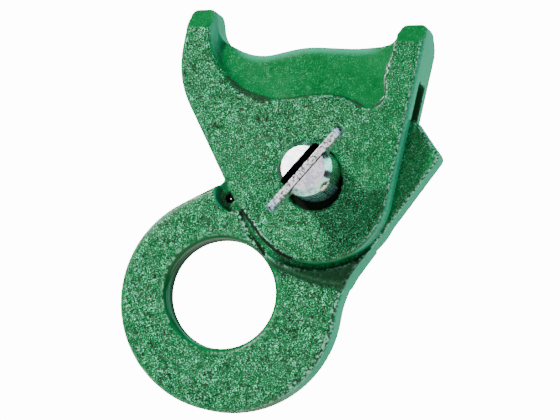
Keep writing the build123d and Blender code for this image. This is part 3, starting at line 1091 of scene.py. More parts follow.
@dataclass
class ClampBody(Casting):
    """The clevis body, smoother on its horns, its saddle and its sunk panels."""

    node: str = "clamp_body"
    body: str = "body"
    face: float = 17.5 * MM
    middle: float = -4.0 * MM
    # The soft hollow at the panel's left end: its line, its full fall and where it has no edge wear,
    # painted shade or painted highlight.
    hollow_line: Line = (
        (-40.0, 60.0),
        (-41.0, 53.5),
        (-38.9, 46.6),
        (-33.0, 39.4),
        (-24.0, 33.0),
    )
    hollow_fall: Band = Band(6.5 * MM, 6.5 * MM * 2 / 7)
    hollow_unmarked: Band = Band(10.4 * MM, 3.9 * MM)
    hollow_top: Band = Band(60.0 * MM, 48.0 * MM)
    # What is evened of the cheeks' outer skin: the panels, the hollow and the saddle's top.
    outer_skin: Band = Band(9.5 * MM, 10.5 * MM)
    flat: Band = Band(0.88, 0.96)
    panel_depth: float = 17.0 * MM
    panel_passes: int = 12
    soft_passes: int = 60
    saddle_height: Band = Band(43.5 * MM, 45.5 * MM)
    between_horns: Band = Band(33.0 * MM, 28.0 * MM)
    # The relieved mouth of the pin's bore, round a middle below the pin's axis, painted black as the pin's
    # shadow.
    mouth_place: Pair = (PIN_AXIS[0] - 0.1 * MM, PIN_AXIS[1] - 3.3 * MM)
    mouth_radius: float = 12.1 * MM
    mouth_depth: float = 4.5 * MM
    mouth_unevenness: float = 0.06
    # The painted highlight along the saddle's top edge, found in columns of a millimetre, and none of the
    # painted highlight near the pin's bore.
    saddle_reach: float = 31.0 * MM
    saddle_least: float = 40.0 * MM
    columns: int = 72
    saddle_band: Band = Band(3.45 * MM, 1.15 * MM)
    saddle_ends: Band = Band(32.0 * MM, 26.0 * MM)
    highlight_clear_of_bore: float = 20.0 * MM
    # The left foot of the cheek: rubbed where it rounds off, as wear with painted highlight, and painted
    # with shade on its outer half.
    foot_corner: Pair = (-6.0 * MM, -14.0 * MM)
    foot_from_pin: float = 16.0 * MM
    foot_wear: float = 0.95
    foot_rounded: tuple[Band, Band] = (Band(0.35, 0.45), Band(0.97, 0.94))
    foot_shade_edge: float = -9.0 * MM
    foot_shade: tuple[Band, Band] = (Band(0.02, 0.12), Band(0.88, 0.82))
    # What faces down below the pin: unworn right of an edge, painted with shade by two shares, right and
    # left of it.
    under_from_pin: float = 20.0 * MM
    under_height: float = -12.0 * MM
    under_facing: Band = Band(-0.30, -0.50)
    under_edge: float = -12.0 * MM
    under_shade: Pair = (0.25, 0.6)
    # The horns' ends, right and left, and the wear that is left there.
    horn_ends: Pair = (53.0 * MM, 57.0 * MM)
    horn_wear: float = 0.2
    # The painted highlight along the faces' right-hand edges, and the bore's edge, left unworn.
    right_edge_highlight: float = 0.8
    line_from_pin: float = 18.0 * MM
    bore_edge: float = 17.0 * MM
    # The rim over the panel, half worn, and the sill under it, painted with shade.
    rim_height: float = 28.0 * MM
    rim_reach: float = 36.0 * MM
    rim_right: float = 22.0 * MM
    rim_wear: float = 0.45
    sill_lift: float = 0.25
    sill_facing: float = 0.4
    sill_depth: float = 15.7 * MM
    sill_top: float = 42.0 * MM
    sill_shade: float = 0.75
    # The slot's walls, painted with shade but for the pin's bore, and how deep the bore's mouth is painted
    # black as the pin's shadow.
    slot_wall: float = 8.3 * MM
    slot_facing: float = 0.7
    slot_from_pin: float = 12.0 * MM
    slot_shade: float = 0.66
    mouth_floor: float = -12.0 * MM
    # The sand's roughness: full on the faces, less on the sides and the panel, less to the right.
    faces_out: Band = Band(0.55, 0.90)
    face_skin: Band = Band(16.1 * MM, 17.1 * MM)
    panel_skin: Band = Band(10.0 * MM, 11.0 * MM)
    panel_sand: float = 0.14
    side_skin: Band = Band(8.3 * MM, 9.1 * MM)
    side_sand: float = 0.20
    round_bore: Band = Band(11.88 * MM, 12.68 * MM)
    rightward: Band = Band(8.0 * MM, 28.0 * MM)
    right_loss: float = 0.3

    def soften(self, skin: PointField) -> None:
        """Evens the panels, makes a hollow of the step at their left end and opens the bore's mouth.

        Args:
            skin: The casting's skin.
        """
        surface = Surface(skin.points, skin.normals())
        outer = self.outer_skin.of(surface.depth)
        panel = self.flat.of(surface.facing) * outer * (surface.depth < self.panel_depth)
        hollow = self.hollow_fall.of(self.from_hollow(surface)) * outer
        saddle = self.saddle_height.of(surface.up) * self.in_saddle(surface, self.between_horns)
        skin.relax(panel, self.panel_passes)
        skin.relax(hollow, self.soft_passes)
        skin.relax(saddle * outer, self.soft_passes)
        self.open_mouth(skin.points)

    def painted_highlight(self, surface: Surface) -> np.ndarray:
        """Painted highlight on the sides that face right and along the saddle's top edge.

        Args:
            surface: The casting's surface.

        Returns:
            One value from 0 to 1 for each point.
        """
        across, up = surface.across - self.middle, surface.up
        over = (np.abs(across) < self.saddle_reach) & (up > self.saddle_least)
        column = np.clip((across / MM).astype(int) + self.columns // 2, 0, self.columns - 1)
        top = np.zeros(self.columns)
        np.maximum.at(top, column[over], up[over])
        saddle = np.where(over, self.saddle_band.of(top[column] - up), 0.0)
        saddle = saddle * self.in_saddle(surface, self.saddle_ends)
        hollow = self.hollow_unmarked.of(self.from_hollow(surface)) * self.hollow_top.of(up)
        rightward = super().painted_highlight(surface) * (1 - hollow)
        return np.maximum(rightward, saddle) * (surface.from_pin > self.highlight_clear_of_bore)

    def from_hollow(self, surface: Surface) -> np.ndarray:
        """How far each point lies from the line of the soft hollow."""
        return from_line(np.stack([surface.across, surface.up], axis=1), self.hollow_line)

    def in_saddle(self, surface: Surface, band: Band) -> np.ndarray:
        """How far inside a stretch about the saddle's middle each point lies, from 0 to 1."""
        return band.of(np.abs(surface.across - self.middle))

    def open_mouth(self, points: np.ndarray) -> None:
        """Sinks the face round the lower side of the pin's bore, where the bore's mouth is relieved.

        Args:
            points: The skin's points, which are moved.
        """
        floor = self.mouth_depth - self.face
        inside = self.in_mouth(points) & (points[:, 1] < floor)
        points[inside, 1] = floor + self.mouth_unevenness * (points[inside, 1] - floor)

    def in_mouth(self, points: np.ndarray) -> np.ndarray:
        """Whether each point lies in the outline of the bore's relieved mouth."""
        return distance(points, self.mouth_place) < self.mouth_radius

    def marks(self, surface: Surface) -> None:
        """Paints the pin's shadow black in the bore's mouth and shade between the cheeks, and rubs the left
        foot's edge.

        Args:
            surface: The casting's surface, whose wear and dark are changed.
        """
        self.mark_foot(surface)
        # The hollow keeps no edge wear and no painted shade.
        beyond_hollow = 1 - self.hollow_unmarked.of(self.from_hollow(surface))
        end = np.where(surface.across > 0, *self.horn_ends)
        surface.wear_and_highlight = surface.wear_and_highlight * beyond_hollow * np.where(surface.up > end, self.horn_wear, 1.0)
        surface.painted_dark = surface.painted_dark * beyond_hollow
        # Painted highlight along the faces' right-hand edges.
        surface.rub(self.right_edge_highlight * surface.front_line() * (surface.from_pin > self.line_from_pin) * beyond_hollow)
        surface.wear_and_highlight[surface.from_pin < self.bore_edge] = 0.0
        self.mark_rim(surface)
        self.mark_slot(surface)

    def mark_foot(self, surface: Surface) -> None:
        """Rubs the left foot's edge and paints shade on its outer half and on what faces down beside it.

        Args:
            surface: The casting's surface, whose wear and dark are changed.
        """
        facing, across = surface.facing, surface.across
        foot = (across < self.foot_corner[0]) & (surface.up < self.foot_corner[1])
        foot = foot & (surface.from_pin > self.foot_from_pin)
        rise, fall = self.foot_rounded
        surface.rub(foot * self.foot_wear * rise.of(facing) * fall.of(facing))
        low = (surface.from_pin > self.under_from_pin) & (surface.up < self.under_height)
        under = self.under_facing.of(surface.normals[:, 2]) * low
        beside = across > self.under_edge
        surface.wear_and_highlight = surface.wear_and_highlight * (1 - under * beside)
        # Painted shade on what faces down below the pin.
        surface.darken(under * np.where(beside, *self.under_shade))
        rise, fall = self.foot_shade
        surface.darken((foot & (across < self.foot_shade_edge)) * rise.of(facing) * fall.of(facing))

    def mark_rim(self, surface: Surface) -> None:
        """Spares the rim over the panel some wear and paints shade on the sill under it.

        Args:
            surface: The casting's surface, whose wear and dark are changed.
        """
        rim = np.abs(surface.across - self.middle) < self.rim_reach
        rim = rim & (surface.up > self.rim_height)
        surface.wear_and_highlight[rim & (surface.across < self.rim_right)] *= self.rim_wear
        sill = rim & (surface.up < self.sill_top) & (surface.normals[:, 2] > self.sill_lift)
        sill = sill & (surface.facing > self.sill_facing) & (surface.depth > self.sill_depth)
        # Painted shade on the sill under the rim.
        surface.painted_dark[sill] = self.sill_shade

    def mark_slot(self, surface: Surface) -> None:
        """Leaves the slot's walls unworn with painted shade, and paints the bore's relieved mouth black as
        the pin's shadow.

        Args:
            surface: The casting's surface, whose wear and dark are changed.
        """
        walls = (surface.depth < self.slot_wall) & (surface.facing > self.slot_facing)
        # Painted shade on the slot's walls.
        surface.painted_dark[walls & (surface.from_pin > self.slot_from_pin)] = self.slot_shade
        surface.wear_and_highlight[walls] = 0.0
        mouth = self.in_mouth(surface.points) & (surface.points[:, 1] < self.mouth_floor)
        # The pin's shadow, painted black in the bore's mouth.
        surface.painted_dark[mouth] = 1.0

    def sand(self, surface: Surface) -> np.ndarray:
        """Full on the two flat faces, low on the sides, the panels and the bore.

        Args:
            surface: The casting's surface.

        Returns:
            One value from 0 to 1 for each point.
        """
        faces_out = self.faces_out.of(surface.facing)
        on_face = self.face_skin.of(surface.depth)
        panel = self.panel_sand * self.panel_skin.of(surface.depth) * (1 - on_face) * faces_out
        sides = self.side_sand * self.side_skin.of(surface.depth)
        value = np.maximum.reduce([sides, panel, on_face * faces_out])
        loss = 1 - self.right_loss * self.rightward.of(surface.across)
        return value * self.round_bore.of(surface.from_pin) * loss * ~self.in_mouth(surface.points)


@dataclass
class EyeLever(Casting):
    """The lever with the load eye, smooth where it swings and in the eye."""

    node: str = "eye_lever"
    body: str = "lever"
    eye: Pair = (0.0, 0.0)
    eye_mouth: float = 25.0 * MM
    swinging_face: float = 7.6 * MM
    # The raised land's round edge, and how far the cheeks' feet reach over it from the pin; the feet's
    # shadow and a shade line along the edge are painted on it.
    land_middle: Pair = (60.1 * MM, 76.1 * MM)
    land_radius: float = 74.6 * MM
    land_face: float = 9.2 * MM
    land_shade: float = 0.66
    land_line: Pair = (0.2 * MM, 1.4 * MM)
    land_line_reach: float = 60.0 * MM
    land_line_left: float = -21.0 * MM
    land_line_loss: float = 1.6
    feet: Band = Band(33.0 * MM, 30.5 * MM)
    feet_face: float = 7.1 * MM
    feet_shadow: float = 0.9
    # The painted highlight along the faces' right-hand edges.
    right_edge_highlight: float = 0.75
    # The eye's wall, painted with shade that grows darker towards the back.
    in_eye: float = 24.2 * MM
    eye_facing: float = 0.6
    eye_wear: float = 0.4
    eye_shade: Pair = (0.30, 0.6)
    eye_depth: Band = Band(-7.0 * MM, 4.0 * MM)
    # The tongue and the hook hole are unworn and painted with shade.
    tongue_reach: float = 29.0 * MM
    tongue_shade: float = 0.9
    hole_unworn: float = 7.0 * MM
    hole_shade: float = 2.0 * MM
    # The line where the neck meets the ring: painted shade in the groove, with a pale edge beside it.
    neck_line: Line = ((8.0, 35.5), (13.8, 24.3), (18.5, 16.3))
    neck_groove: Band = Band(0.9 * MM, 0.7 * MM)
    neck_unworn: float = 0.75 * MM
    neck_edge: Pair = (1.1 * MM, 0.35 * MM)
    neck_wear: float = 0.95
    # The sand's roughness: full on the ring's faces, less on the land, in the eye and where it swings.
    faces_out: Band = Band(0.50, 0.85)
    ring_skin: Band = Band(7.85 * MM, 8.25 * MM)
    least_sand: float = 0.25
    land_skin: Band = Band(9.1 * MM, 9.7 * MM)
    land_loss: float = 0.9
    round_tongue: Band = Band(33.0 * MM, 36.0 * MM)
    swinging_sand: float = 0.42
    round_eye: Band = Band(25.0 * MM, 26.5 * MM)
    eye_sand: float = 0.12
    # The hook hole narrows towards the back, over a reach round its middle.
    hook_hole: Pair = (2.73 * MM, 40.56 * MM)
    pinch: float = 0.995
    pinch_depth: Band = Band(-0.7 * MM, 0.5 * MM)
    pinch_reach: Band = Band(3.9 * MM, 2.3 * MM)
    # The ragged lip of the thin lug beside the hole.
    thin: float = 1.8 * MM
    lip_foot: float = 42.1 * MM
    lip_right: float = 3.33 * MM
    lip_growth: float = 0.38
    lip_lean: float = 1.3 * MM
    lip_lean_over: Band = Band(42.1 * MM, 46.6 * MM)
    lug_span: Pair = (1.2 * MM, 6.0 * MM)
    lug_growth: float = 1.7 * MM
    lug_growth_over: Band = Band(42.2 * MM, 42.7 * MM)
    ragged_place: Pair = (-1.8 * MM, 45.0 * MM)
    ragged_reach: Band = Band(8.0 * MM, 3.0 * MM)
    ragged_share: float = 0.8
    ragged_passes: int = 5

    def painted_highlight(self, surface: Surface) -> np.ndarray:
        """Painted highlight on the sides that face right, but not in the eye."""
        return super().painted_highlight(surface) * (distance(surface.points, self.eye) > self.eye_mouth)

    def soften(self, skin: PointField) -> None:
        """Draws the hook hole to a point towards the back, and raises the lip beside it.

        Args:
            skin: The casting's skin.
        """
        points = skin.points
        away = distance(points, self.hook_hole)
        deep = self.pinch_depth.of(points[:, 1])
        kept = 1 - self.pinch * deep * self.pinch_reach.of(away)
        for axis, middle in zip((0, 2), self.hook_hole):
            points[:, axis] = middle + (points[:, axis] - middle) * kept
        thin = np.abs(points[:, 1]) < self.thin
        height = points[:, 2] - self.lip_foot
        lip = thin & (height > 0) & (points[:, 0] < self.lip_right)
        lean = self.lip_lean * self.lip_lean_over.of(points[:, 2])
        points[lip, 2] += self.lip_growth * height[lip]
        points[lip, 0] += lean[lip]
        left, right = self.lug_span
        beside = thin & (points[:, 0] > left) & (points[:, 0] < right)
        points[beside, 2] += self.lug_growth * self.lug_growth_over.of(points[beside, 2])
        ragged = self.ragged_reach.of(distance(points, self.ragged_place))
        skin.relax(ragged * self.ragged_share, self.ragged_passes)

    def marks(self, surface: Surface) -> None:
        """Painted shadow under the cheeks' feet, painted shade along the land's edge, in the eye, on the
        tongue and in the hook hole.

        Args:
            surface: The casting's surface, whose wear and dark are changed.
        """
        self.mark_land(surface)
        in_eye = (distance(surface.points, self.eye) < self.in_eye) & (surface.facing < self.eye_facing)
        least, more = self.eye_shade
        # Painted shade on the eye's wall.
        surface.darken(in_eye * (least + more * self.eye_depth.of(surface.points[:, 1])))
        surface.wear_and_highlight[in_eye] *= self.eye_wear
        tongue = surface.from_pin < self.tongue_reach
        from_hole = distance(surface.points, self.hook_hole)
        # Painted shade on the tongue, and the hook hole painted black.
        surface.darken(self.tongue_shade * tongue)
        surface.painted_dark[from_hole < self.hole_shade] = 1.0
        surface.wear_and_highlight[tongue | (from_hole < self.hole_unworn)] = 0.0
        self.mark_neck(surface)

    def mark_land(self, surface: Surface) -> None:
        """Paints the cheeks' feet's shadow on the land and shade along its edge, and paints a highlight on
        the right-hand edges.

        Args:
            surface: The casting's surface, whose wear and dark are changed.
        """
        below = surface.up < 0
        feet = np.minimum(self.feet.of(surface.from_pin), self.feet_shadow)
        # Painted shadow of the cheeks' feet.
        surface.darken(feet * below * (surface.depth > self.feet_face))
        rim = distance(surface.points, self.land_middle) - self.land_radius
        line = ridge(rim, *self.land_line) * below * (surface.depth > self.swinging_face)
        line = line * (surface.from_pin < self.land_line_reach) * (surface.across > self.land_line_left)
        # Painted highlight along the right-hand edges.
        surface.rub(self.right_edge_highlight * surface.front_line())
        surface.wear_and_highlight = surface.wear_and_highlight * (1 - np.clip(self.land_line_loss * line, 0, 1))
        land = (surface.depth > self.land_face) & below & (rim < 0)
        # Painted shadow on the land and painted shade along its edge.
        surface.darken(self.land_shade * np.maximum(line, land))

    def mark_neck(self, surface: Surface) -> None:
        """Paints shade in the groove where the neck meets the ring, with a rubbed edge beside it.

        Args:
            surface: The casting's surface, whose wear and dark are changed.
        """
        away = from_line(surface.points[:, [0, 2]], self.neck_line)
        away = np.where(surface.depth > self.swinging_face, away, np.inf)
        middle, half = self.neck_edge
        surface.wear_and_highlight[away < self.neck_unworn] = 0.0
        surface.wear_and_highlight[np.abs(away - middle) < half] = self.neck_wear
        surface.darken(self.neck_groove.of(away))

    def sand(self, surface: Surface) -> np.ndarray:
        """Full on the ring's faces, low in the eye and on the tongue.

        Args:
            surface: The casting's surface.

        Returns:
            One value from 0 to 1 for each point.
        """
        faces_out, depth = self.faces_out.of(surface.facing), surface.depth
        ring = faces_out * self.ring_skin.of(depth) * (1 - self.land_loss * self.land_skin.of(depth))
        swinging = (depth < self.ring_skin.start) & (faces_out > 0.5)
        tongue = self.swinging_sand * self.round_tongue.of(surface.from_pin)
        value = np.where(swinging, tongue, self.least_sand + (1 - self.least_sand) * ring)
        outside_eye = self.round_eye.of(distance(surface.points, self.eye))
        return value * (self.eye_sand + (1 - self.eye_sand) * outside_eye)


# ---- Machined pieces ---------------------------------------------------------------------------
@dataclass
class MachinedPiece:
    """A turned or sheared piece: the solid with its sharp edges broken."""

    node: str
    body: str
    slot: Slot
    finish: bpy.types.Material
    flat_angle: float = radians(0.4)
    edge_break: float = 0.22 * MM
    edge_steps: int = 2
    edge_angle: float = radians(30)
    flat_weight: int = 90

    def cut(self, piece: bpy.types.Object) -> None:
        """Cuts what the solid leaves out, before the edges are broken."""

    def mark(self, mesh: bpy.types.Mesh) -> None:
        """Marks the faces that the finish treats in their own way."""

    def build(self, frame: dict) -> bpy.types.Object:
        """Builds the piece and puts it in place of its node.


        Returns:
            The piece.
        """
        piece = solid_copy(frame["nodes"][self.node], f"{self.node}_finished")
        apply_modifiers(piece)
        shade_smooth(piece.data)
        flat = piece.modifiers.new("flat", "DECIMATE")
        flat.decimate_type = "DISSOLVE"
        flat.angle_limit = self.flat_angle
        apply_modifiers(piece)
        self.cut(piece)
        broken = piece.modifiers.new("edge", "BEVEL")
        broken.width = self.edge_break
        broken.segments = self.edge_steps
        broken.limit_method = "ANGLE"
        broken.angle_limit = self.edge_angle
        weigh = piece.modifiers.new("weigh", "WEIGHTED_NORMAL")
        weigh.weight = self.flat_weight
        apply_modifiers(piece)
        self.mark(piece.data)
        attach(piece, self.body)
        hand_over(piece, self.finish, self.node)
        return piece


@dataclass
class PivotPin(MachinedPiece):
    """The pin, with the fork in its end as wide as the bar needs to fold over either side.

    The fork's places across are measured from the pin's axis along the rivet, its depths along Y.
    """

    radius: float = 11.5 * MM
    end: float = -42.0 * MM
    # The widening of the fork: its two sides, how far the cutter passes the pin, and its floor.
    fork_sides: Pair = (-3.75 * MM, -2.0 * MM)
    cutter_reach: float = 30.0 * MM
    cutter_pass: float = 5.0 * MM
    fork_floor: float = -14.5 * MM
    # Where faces are marked: the part in front of the body, the fork, its floor and its inner walls.
    front_part: float = -17.0 * MM
    slot_reach: float = 4.3 * MM
    slot_part: float = -13.5 * MM
    floor_part: float = -19.0 * MM
    inner_part: float = -38.0 * MM
    inner_share: float = 0.97
    # How far forward a face looks on the turned side at most, on the chamfer at most, and on the end
    # at least, and how far one of the fork's walls looks along the rivet.
    turned: float = 0.25
    sloped: float = 0.9
    level: float = 0.95
    leaning: float = 0.5

    def cut(self, piece: bpy.types.Object) -> None:
        """Widens the fork on the side that the bar doesn't lean on.

        Args:
            piece: The pin.
        """
        corners = [
            (
                PIN_AXIS[0] + side * RIVET_LINE[0] - reach * RIVET_LINE[1],
                depth,
                PIN_AXIS[1] + side * RIVET_LINE[1] + reach * RIVET_LINE[0],
            )
            for side in self.fork_sides
            for reach in (-self.cutter_reach, self.cutter_reach)
            for depth in (self.end - self.cutter_pass, self.fork_floor)
        ]
        faces = [(0, 1, 3, 2), (4, 6, 7, 5), (0, 4, 5, 1), (2, 3, 7, 6), (0, 2, 6, 4), (1, 5, 7, 3)]
        cutter = object_from("fork_cutter", corners, faces)
        if self.inward(cutter.data):
            cutter.data.flip_normals()
        wider = piece.modifiers.new("fork", "BOOLEAN")
        wider.operation = "DIFFERENCE"
        wider.solver = "EXACT"
        wider.object = cutter
        apply_modifiers(piece)
        bpy.data.objects.remove(cutter)

    @staticmethod
    def inward(mesh: bpy.types.Mesh) -> bool:
        """Tells whether a box's faces look inward.

        Args:
            mesh: The box.

        Returns:
            True where its first face looks to its middle.
        """
        middle = sum((vertex.co for vertex in mesh.vertices), Vector()) / len(mesh.vertices)
        face = mesh.polygons[0]
        return face.normal.dot(face.center - middle) < 0

    def mark(self, mesh: bpy.types.Mesh) -> None:
        """Marks the fork's walls, the chamfer, the turned side and the prong under the bar.

        Args:
            mesh: The finished pin.
        """
        rows = [self.face_marks(face) for face in mesh.polygons]
        for name in ("fork", "chamfer", "side", "prong"):
            mark_faces(mesh, name, [float(row[name]) for row in rows])

    def face_marks(self, face: bpy.types.MeshPolygon) -> dict[str, bool]:
        """Tells what part of the pin a face is.

        Args:
            face: The face.

        Returns:
            For each mark, whether the face has it.
        """
        right, depth, up = face.center.x - PIN_AXIS[0], face.center.y, face.center.z - PIN_AXIS[1]
        offset = right * RIVET_LINE[0] + up * RIVET_LINE[1]
        along_rivet = abs(face.normal.x * RIVET_LINE[0] + face.normal.z * RIVET_LINE[1])
        forward = -face.normal.y
        in_front = depth < self.front_part
        in_slot = abs(offset) < self.slot_reach and depth < self.slot_part
        in_fork = in_slot and (along_rivet > self.leaning or depth > self.floor_part)
        inner = hypot(right, up) < self.inner_share * self.radius or depth > self.inner_part
        outside = in_front and not in_fork
        return {
            "fork": in_fork and inner,
            "chamfer": self.turned < forward < self.sloped and outside,
            "side": forward <= self.turned and outside,
            "prong": forward > self.level and offset > 0 and in_front,
        }


@dataclass
class ToggleRivet:
    """The rivet that the bar folds on, with a low domed end on one side and a flush end on the other."""

    finish: bpy.types.Material
    middle: Vector = field(default_factory=lambda: Vector(RIVET_MIDDLE))
    along: Vector = field(default_factory=lambda: Vector((RIVET_LINE[0], 0.0, RIVET_LINE[1])))
    # Half of the rivet: places from its middle and the radius at each, in millimetres.
    profile: tuple[Pair, ...] = (
        (10.95, 1.88),
        (10.95, 2.60),
        (11.20, 2.80),
        (11.60, 2.60),
        (12.00, 1.95),
        (12.25, 1.05),
    )
    sides: int = 40
    # The rivet's middle, inside the fork, takes the fork's near-black painted shade.
    shaded_half: float = 8.0 * MM

    def build(self, frame: dict) -> bpy.types.Object:
        """Turns the rivet about its own line and puts it in place of its node.


        Returns:
            The piece.
        """
        upright = Vector((0.0, 1.0, 0.0))
        level = self.along.cross(upright)
        far_place, far_radius = self.profile[0]
        rows = ((-far_place, far_radius), *self.profile)
        points = [
            self.middle + self.along * place * MM + (upright * cos(turn) + level * sin(turn)) * radius * MM
            for place, radius in rows
            for turn in np.linspace(0, 2 * pi, self.sides, endpoint=False)
        ]
        piece = object_from("toggle_rivet_finished", points, tube_faces(len(rows), self.sides))
        shade_smooth(piece.data)
        places = [abs((face.center - self.middle).dot(self.along)) for face in piece.data.polygons]
        mark_faces(piece.data, "fork", [float(place < self.shaded_half) for place in places])
        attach(piece, "pin")
        hand_over(piece, self.finish, "toggle_rivet")
        return piece


@dataclass
class ReturnSpring:
    """The extension spring: a hook through the lever's hole, the coil, and an eye round its anchor pin.

    Its places are measured from the pin's axis.
    """

    finish: bpy.types.Material
    pin: Vector = field(default_factory=lambda: Vector((PIN_AXIS[0], 0.0, PIN_AXIS[1])))
    anchor: Vector = field(default_factory=lambda: Vector((-33.5, 0.0, 38.0)) * MM)
    hole: Vector = field(default_factory=lambda: Vector((-38.47, 0.0, -8.04)) * MM)
    hook_middle: Vector = field(default_factory=lambda: Vector((-38.95, 0.0, -3.95)) * MM)
    hook_radius: float = 3.5 * MM
    hook_turn: float = radians(27.0)
    hook_opening: float = radians(48.0)
    shank_places: tuple[float, ...] = (0.25, 0.5, 0.75)
    wire: float = 0.7 * MM
    wire_end: float = 0.55
    coil_radius: float = 3.3 * MM
    pitch: float = 1.9 * MM
    turns: int = 11
    # How the wire comes from its line out to the coil, and back to the line at the eye.
    shank_end: float = 2.5 * MM
    coil_entry: float = 1.2 * MM
    coil_exit: float = 0.9 * MM
    entry_share: float = 0.4
    eye_radius: float = 2.85 * MM
    eye_span: float = radians(325.0)
    steps: int = 22
    sides: int = 12
    evening_passes: int = 2

    def route(self) -> np.ndarray:
        """The middle of the wire, from the hook's end to the eye's end.

        Returns:
            Its points, one row each.
        """
        line = (self.anchor - self.hole).normalized()
        depth = Vector((0.0, 1.0, 0.0))
        aside = line.cross(depth)
        sideways = depth * cos(self.hook_turn) + aside * sin(self.hook_turn)
        points = [
            self.hook_middle + (line * cos(angle) + sideways * sin(angle)) * self.hook_radius
            for angle in np.linspace(self.hook_opening, 2 * pi, 2 * self.steps)
        ]
        coil_start = self.anchor - line * (self.eye_radius + self.pitch * (self.turns + 1))
        shank_end = coil_start - line * self.shank_end
        hook_top = points[-1]
        points += [hook_top.lerp(shank_end, share) for share in self.shank_places]
        rise = depth * self.entry_share * self.coil_radius
        points.append(coil_start - line * self.coil_entry + rise)
        for step in range(self.turns * self.steps + 1):
            angle = 2 * pi * step / self.steps
            outward = depth * cos(angle) + aside * sin(angle)
            points.append(coil_start + line * self.pitch * step / self.steps + outward * self.coil_radius)
        points.append(self.anchor - line * (self.eye_radius + self.coil_exit) + rise)
        points += [
            self.anchor + (-line * cos(angle) + aside * sin(angle)) * self.eye_radius
            for angle in np.linspace(0, self.eye_span, 2 * self.steps)
        ]
        rows = np.array([list(self.pin + point) for point in points])
        for _ in range(self.evening_passes):
            rows[1:-1] = 0.25 * rows[:-2] + 0.5 * rows[1:-1] + 0.25 * rows[2:]
        return rows

    def swept(self, rows: np.ndarray) -> list[np.ndarray]:
        """Sweeps the wire's round section along its middle.

        Args:
            rows: The middle of the wire.

        Returns:
            The wire's points, in rings.
        """
        ahead = np.gradient(rows, axis=0)
        ahead /= np.linalg.norm(ahead, axis=1)[:, None]
        outward = np.cross(ahead[0], (0.0, 0.0, 1.0))
        points = []
        for place, (middle, direction) in enumerate(zip(rows, ahead)):
            outward = outward - direction * (outward @ direction)
            outward /= np.linalg.norm(outward)
            third = np.cross(direction, outward)
            radius = self.wire * (self.wire_end if place in (0, len(rows) - 1) else 1.0)
            for turn in np.linspace(0, 2 * pi, self.sides, endpoint=False):
                points.append(middle + radius * (outward * cos(turn) + third * sin(turn)))
        return points

    def build(self, frame: dict) -> bpy.types.Object:
        """Sweeps the wire and puts it in place of its node.

        Returns:
            The piece.
        """
        rows = self.route()
        piece = object_from("return_spring_wire", self.swept(rows), tube_faces(len(rows), self.sides))
        shade_smooth(piece.data)
        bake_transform(piece)
        hand_over(piece, self.finish, "return_spring")
        return piece


# ---- Studio ------------------------------------------------------------------------------------
WHITE = Colour(1.0, 0.99, 0.97)
COOL = Colour(0.48, 1.0, 0.90)
TEAL = Colour(0.13, 1.0, 0.62)


@dataclass(frozen=True)
class PanelLight:
    """A square soft light that faces the clamp, at a place from the camera's aim."""

    name: str
    place: tuple[float, float, float]
    side: float
    watts: float
    tint: Colour

    def put_up(self, aim: Vector) -> None:
        """Puts up the light.

        Args:
            aim: Where it points.
        """
        data = bpy.data.lights.new(self.name, "AREA")
        data.shape = "SQUARE"
        data.size = self.side
        data.energy = self.watts
        data.color = self.tint.rgba[:3]
        lamp = bpy.data.objects.new(self.name, data)
        place = Vector(self.place)
        lamp.location = aim + place
        lamp.rotation_euler = (-place).to_track_quat("-Z", "Y").to_euler()
        lamp.visible_camera = False
        bpy.context.scene.collection.objects.link(lamp)


PANEL_LIGHTS = (
    PanelLight("key", (-0.85, -0.95, 1.05), 0.17, 44.0, WHITE),
    PanelLight("left", (-1.5, -0.5, 0.3), 0.8, 4.0, WHITE),
    PanelLight("front", (-0.31, -1.67, 0.16), 0.26, 1.9, WHITE),
    PanelLight("right", (1.5, 0.6, 0.4), 0.9, 8.0, COOL),
    PanelLight("behind", (0.27, 1.70, 0.28), 1.0, 2.3, TEAL),
    PanelLight("beside", (1.06, 1.30, 0.27), 0.85, 2.2, TEAL),
    PanelLight("low", (0.55, -1.10, -0.12), 0.2, 2.8, WHITE),
    PanelLight("bounce", (0.0, 0.0, -0.33), 1.6, 10.5, WHITE),
    PanelLight("above", (0.1, 1.15, 1.2), 0.8, 6.6, TEAL),
)


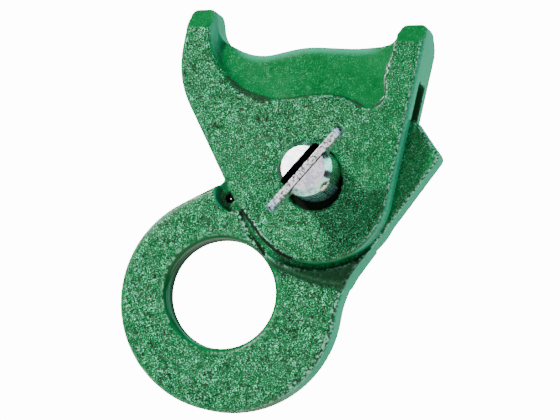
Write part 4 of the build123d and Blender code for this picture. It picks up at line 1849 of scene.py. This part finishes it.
@dataclass
class Studio:
    """The camera, the lights, the pale floor and the white wall round it."""

    azimuth: float = radians(10.5)
    elevation: float = radians(-5.5)
    distance: float = 1.616
    aim: Vector = field(default_factory=lambda: Vector((0.035, 0.0, 0.035)))
    aim_left: float = 10.9 * MM
    aim_up: float = 0.2 * MM
    lens: float = 247.5
    sensor: float = 36.0
    farthest: float = 30.0
    floor_height: float = -0.32
    floor_radius: float = 6.0
    floor_sides: int = 96
    wall_radius: float = 5.5
    wall_height: float = 5.0
    wall_sides: int = 64
    sky_tone: Colour = Colour(0.95, 0.98, 1.0)
    sky_level: float = 0.11

    def axes(self) -> tuple[Vector, Vector, Vector]:
        """The camera's right, up and back directions.

        Returns:
            Three unit vectors.
        """
        level, lift = cos(self.elevation), sin(self.elevation)
        back = Vector((sin(self.azimuth) * level, -cos(self.azimuth) * level, lift))
        right = Vector((cos(self.azimuth), sin(self.azimuth), 0))
        return right, back.cross(right), back

    def camera(self) -> None:
        """Puts up the camera."""
        right, up, back = self.axes()
        place = self.aim - right * self.aim_left + up * self.aim_up + back * self.distance
        data = bpy.data.cameras.new("camera")
        data.lens = self.lens
        data.sensor_width = self.sensor
        data.clip_end = self.farthest
        camera = bpy.data.objects.new("camera", data)
        camera.matrix_world = Matrix.Translation(place) @ Matrix((right, up, back)).transposed().to_4x4()
        bpy.context.scene.collection.objects.link(camera)
        bpy.context.scene.camera = camera

    def lights(self) -> None:
        """Puts up the soft lights and a faint pale sky."""
        for light in PANEL_LIGHTS:
            light.put_up(self.aim)
        world = bpy.data.worlds.new("studio")
        world.use_nodes = True
        tree = world.node_tree
        tree.nodes.clear()
        output = tree.nodes.new("ShaderNodeOutputWorld")
        sky = tree.nodes.new("ShaderNodeBackground")
        sky.inputs["Color"].default_value = self.sky_tone.rgba
        sky.inputs["Strength"].default_value = self.sky_level
        tree.links.new(sky.outputs["Background"], output.inputs["Surface"])
        bpy.context.scene.world = world

    def ring(self, radius: float, height: float, sides: int) -> list[tuple[float, float, float]]:
        """Points on a level circle round the clamp.

        Args:
            radius: The circle's radius.
            height: Its height.
            sides: How many points.

        Returns:
            The points.
        """
        turns = np.linspace(0, 2 * pi, sides, endpoint=False)
        return [(radius * cos(turn), radius * sin(turn), height) for turn in turns]

    def show(self, ground: bpy.types.Object, material: bpy.types.Material) -> None:
        """Makes a part of the ground one that is seen but lights nothing.

        Args:
            ground: The floor or the wall.
            material: Its finish.
        """
        ground.data.materials.append(material)
        ground.visible_glossy = False
        ground.visible_diffuse = False

    def wall(self, material: bpy.types.Material) -> None:
        """Puts a bright wall with a lid far round the clamp.

        Args:
            material: Its finish.
        """
        count = self.wall_sides
        low = self.ring(self.wall_radius, self.floor_height, count)
        high = self.ring(self.wall_radius, self.wall_height, count)
        faces = []
        for side in range(count):
            after = (side + 1) % count
            faces.append((side, side + count, after + count, after))
        faces.append(tuple(range(count, 2 * count)))
        self.show(object_from("backdrop", low + high, faces), material)

    def floor(self, material: bpy.types.Material) -> None:
        """Lays the floor.

        Args:
            material: Its finish.
        """
        rim = self.ring(self.floor_radius, self.floor_height, self.floor_sides)
        self.show(object_from("floor", rim, [range(len(rim))]), material)


def main() -> None:
    """Builds the clamp's pieces in order, then the studio."""
    logging.basicConfig(level=logging.INFO, format="%(name)s %(message)s")
    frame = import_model()
    finishes = (CastPaint(), BRIGHT_ZINC, GALVANISED_BAR, RIVET_STEEL, SPRING_WIRE, BEARING_BRONZE)
    paint, zinc, sheared, rivet, wire, bronze = (finish.make() for finish in finishes)
    for piece in (
        ClampBody(paint=paint),
        EyeLever(paint=paint),
        PivotPin("pivot_pin", "pin", Slot.ZINC_PLATE, zinc),
        MachinedPiece("toggle_bar", "toggle", Slot.ZINC_PLATE, sheared),
        ToggleRivet(rivet),
        MachinedPiece("lever_bush", "lever", Slot.BRONZE, bronze),
        ReturnSpring(wire),
        MachinedPiece("spring_anchor_pin", "body", Slot.RIVET_STEEL, rivet),
    ):
        piece.build(frame)
    studio = Studio()
    studio.camera()
    studio.lights()
    studio.wall(LitWall().make())
    studio.floor(PlainFloor().make())


if __name__ == "__main__":
    main()
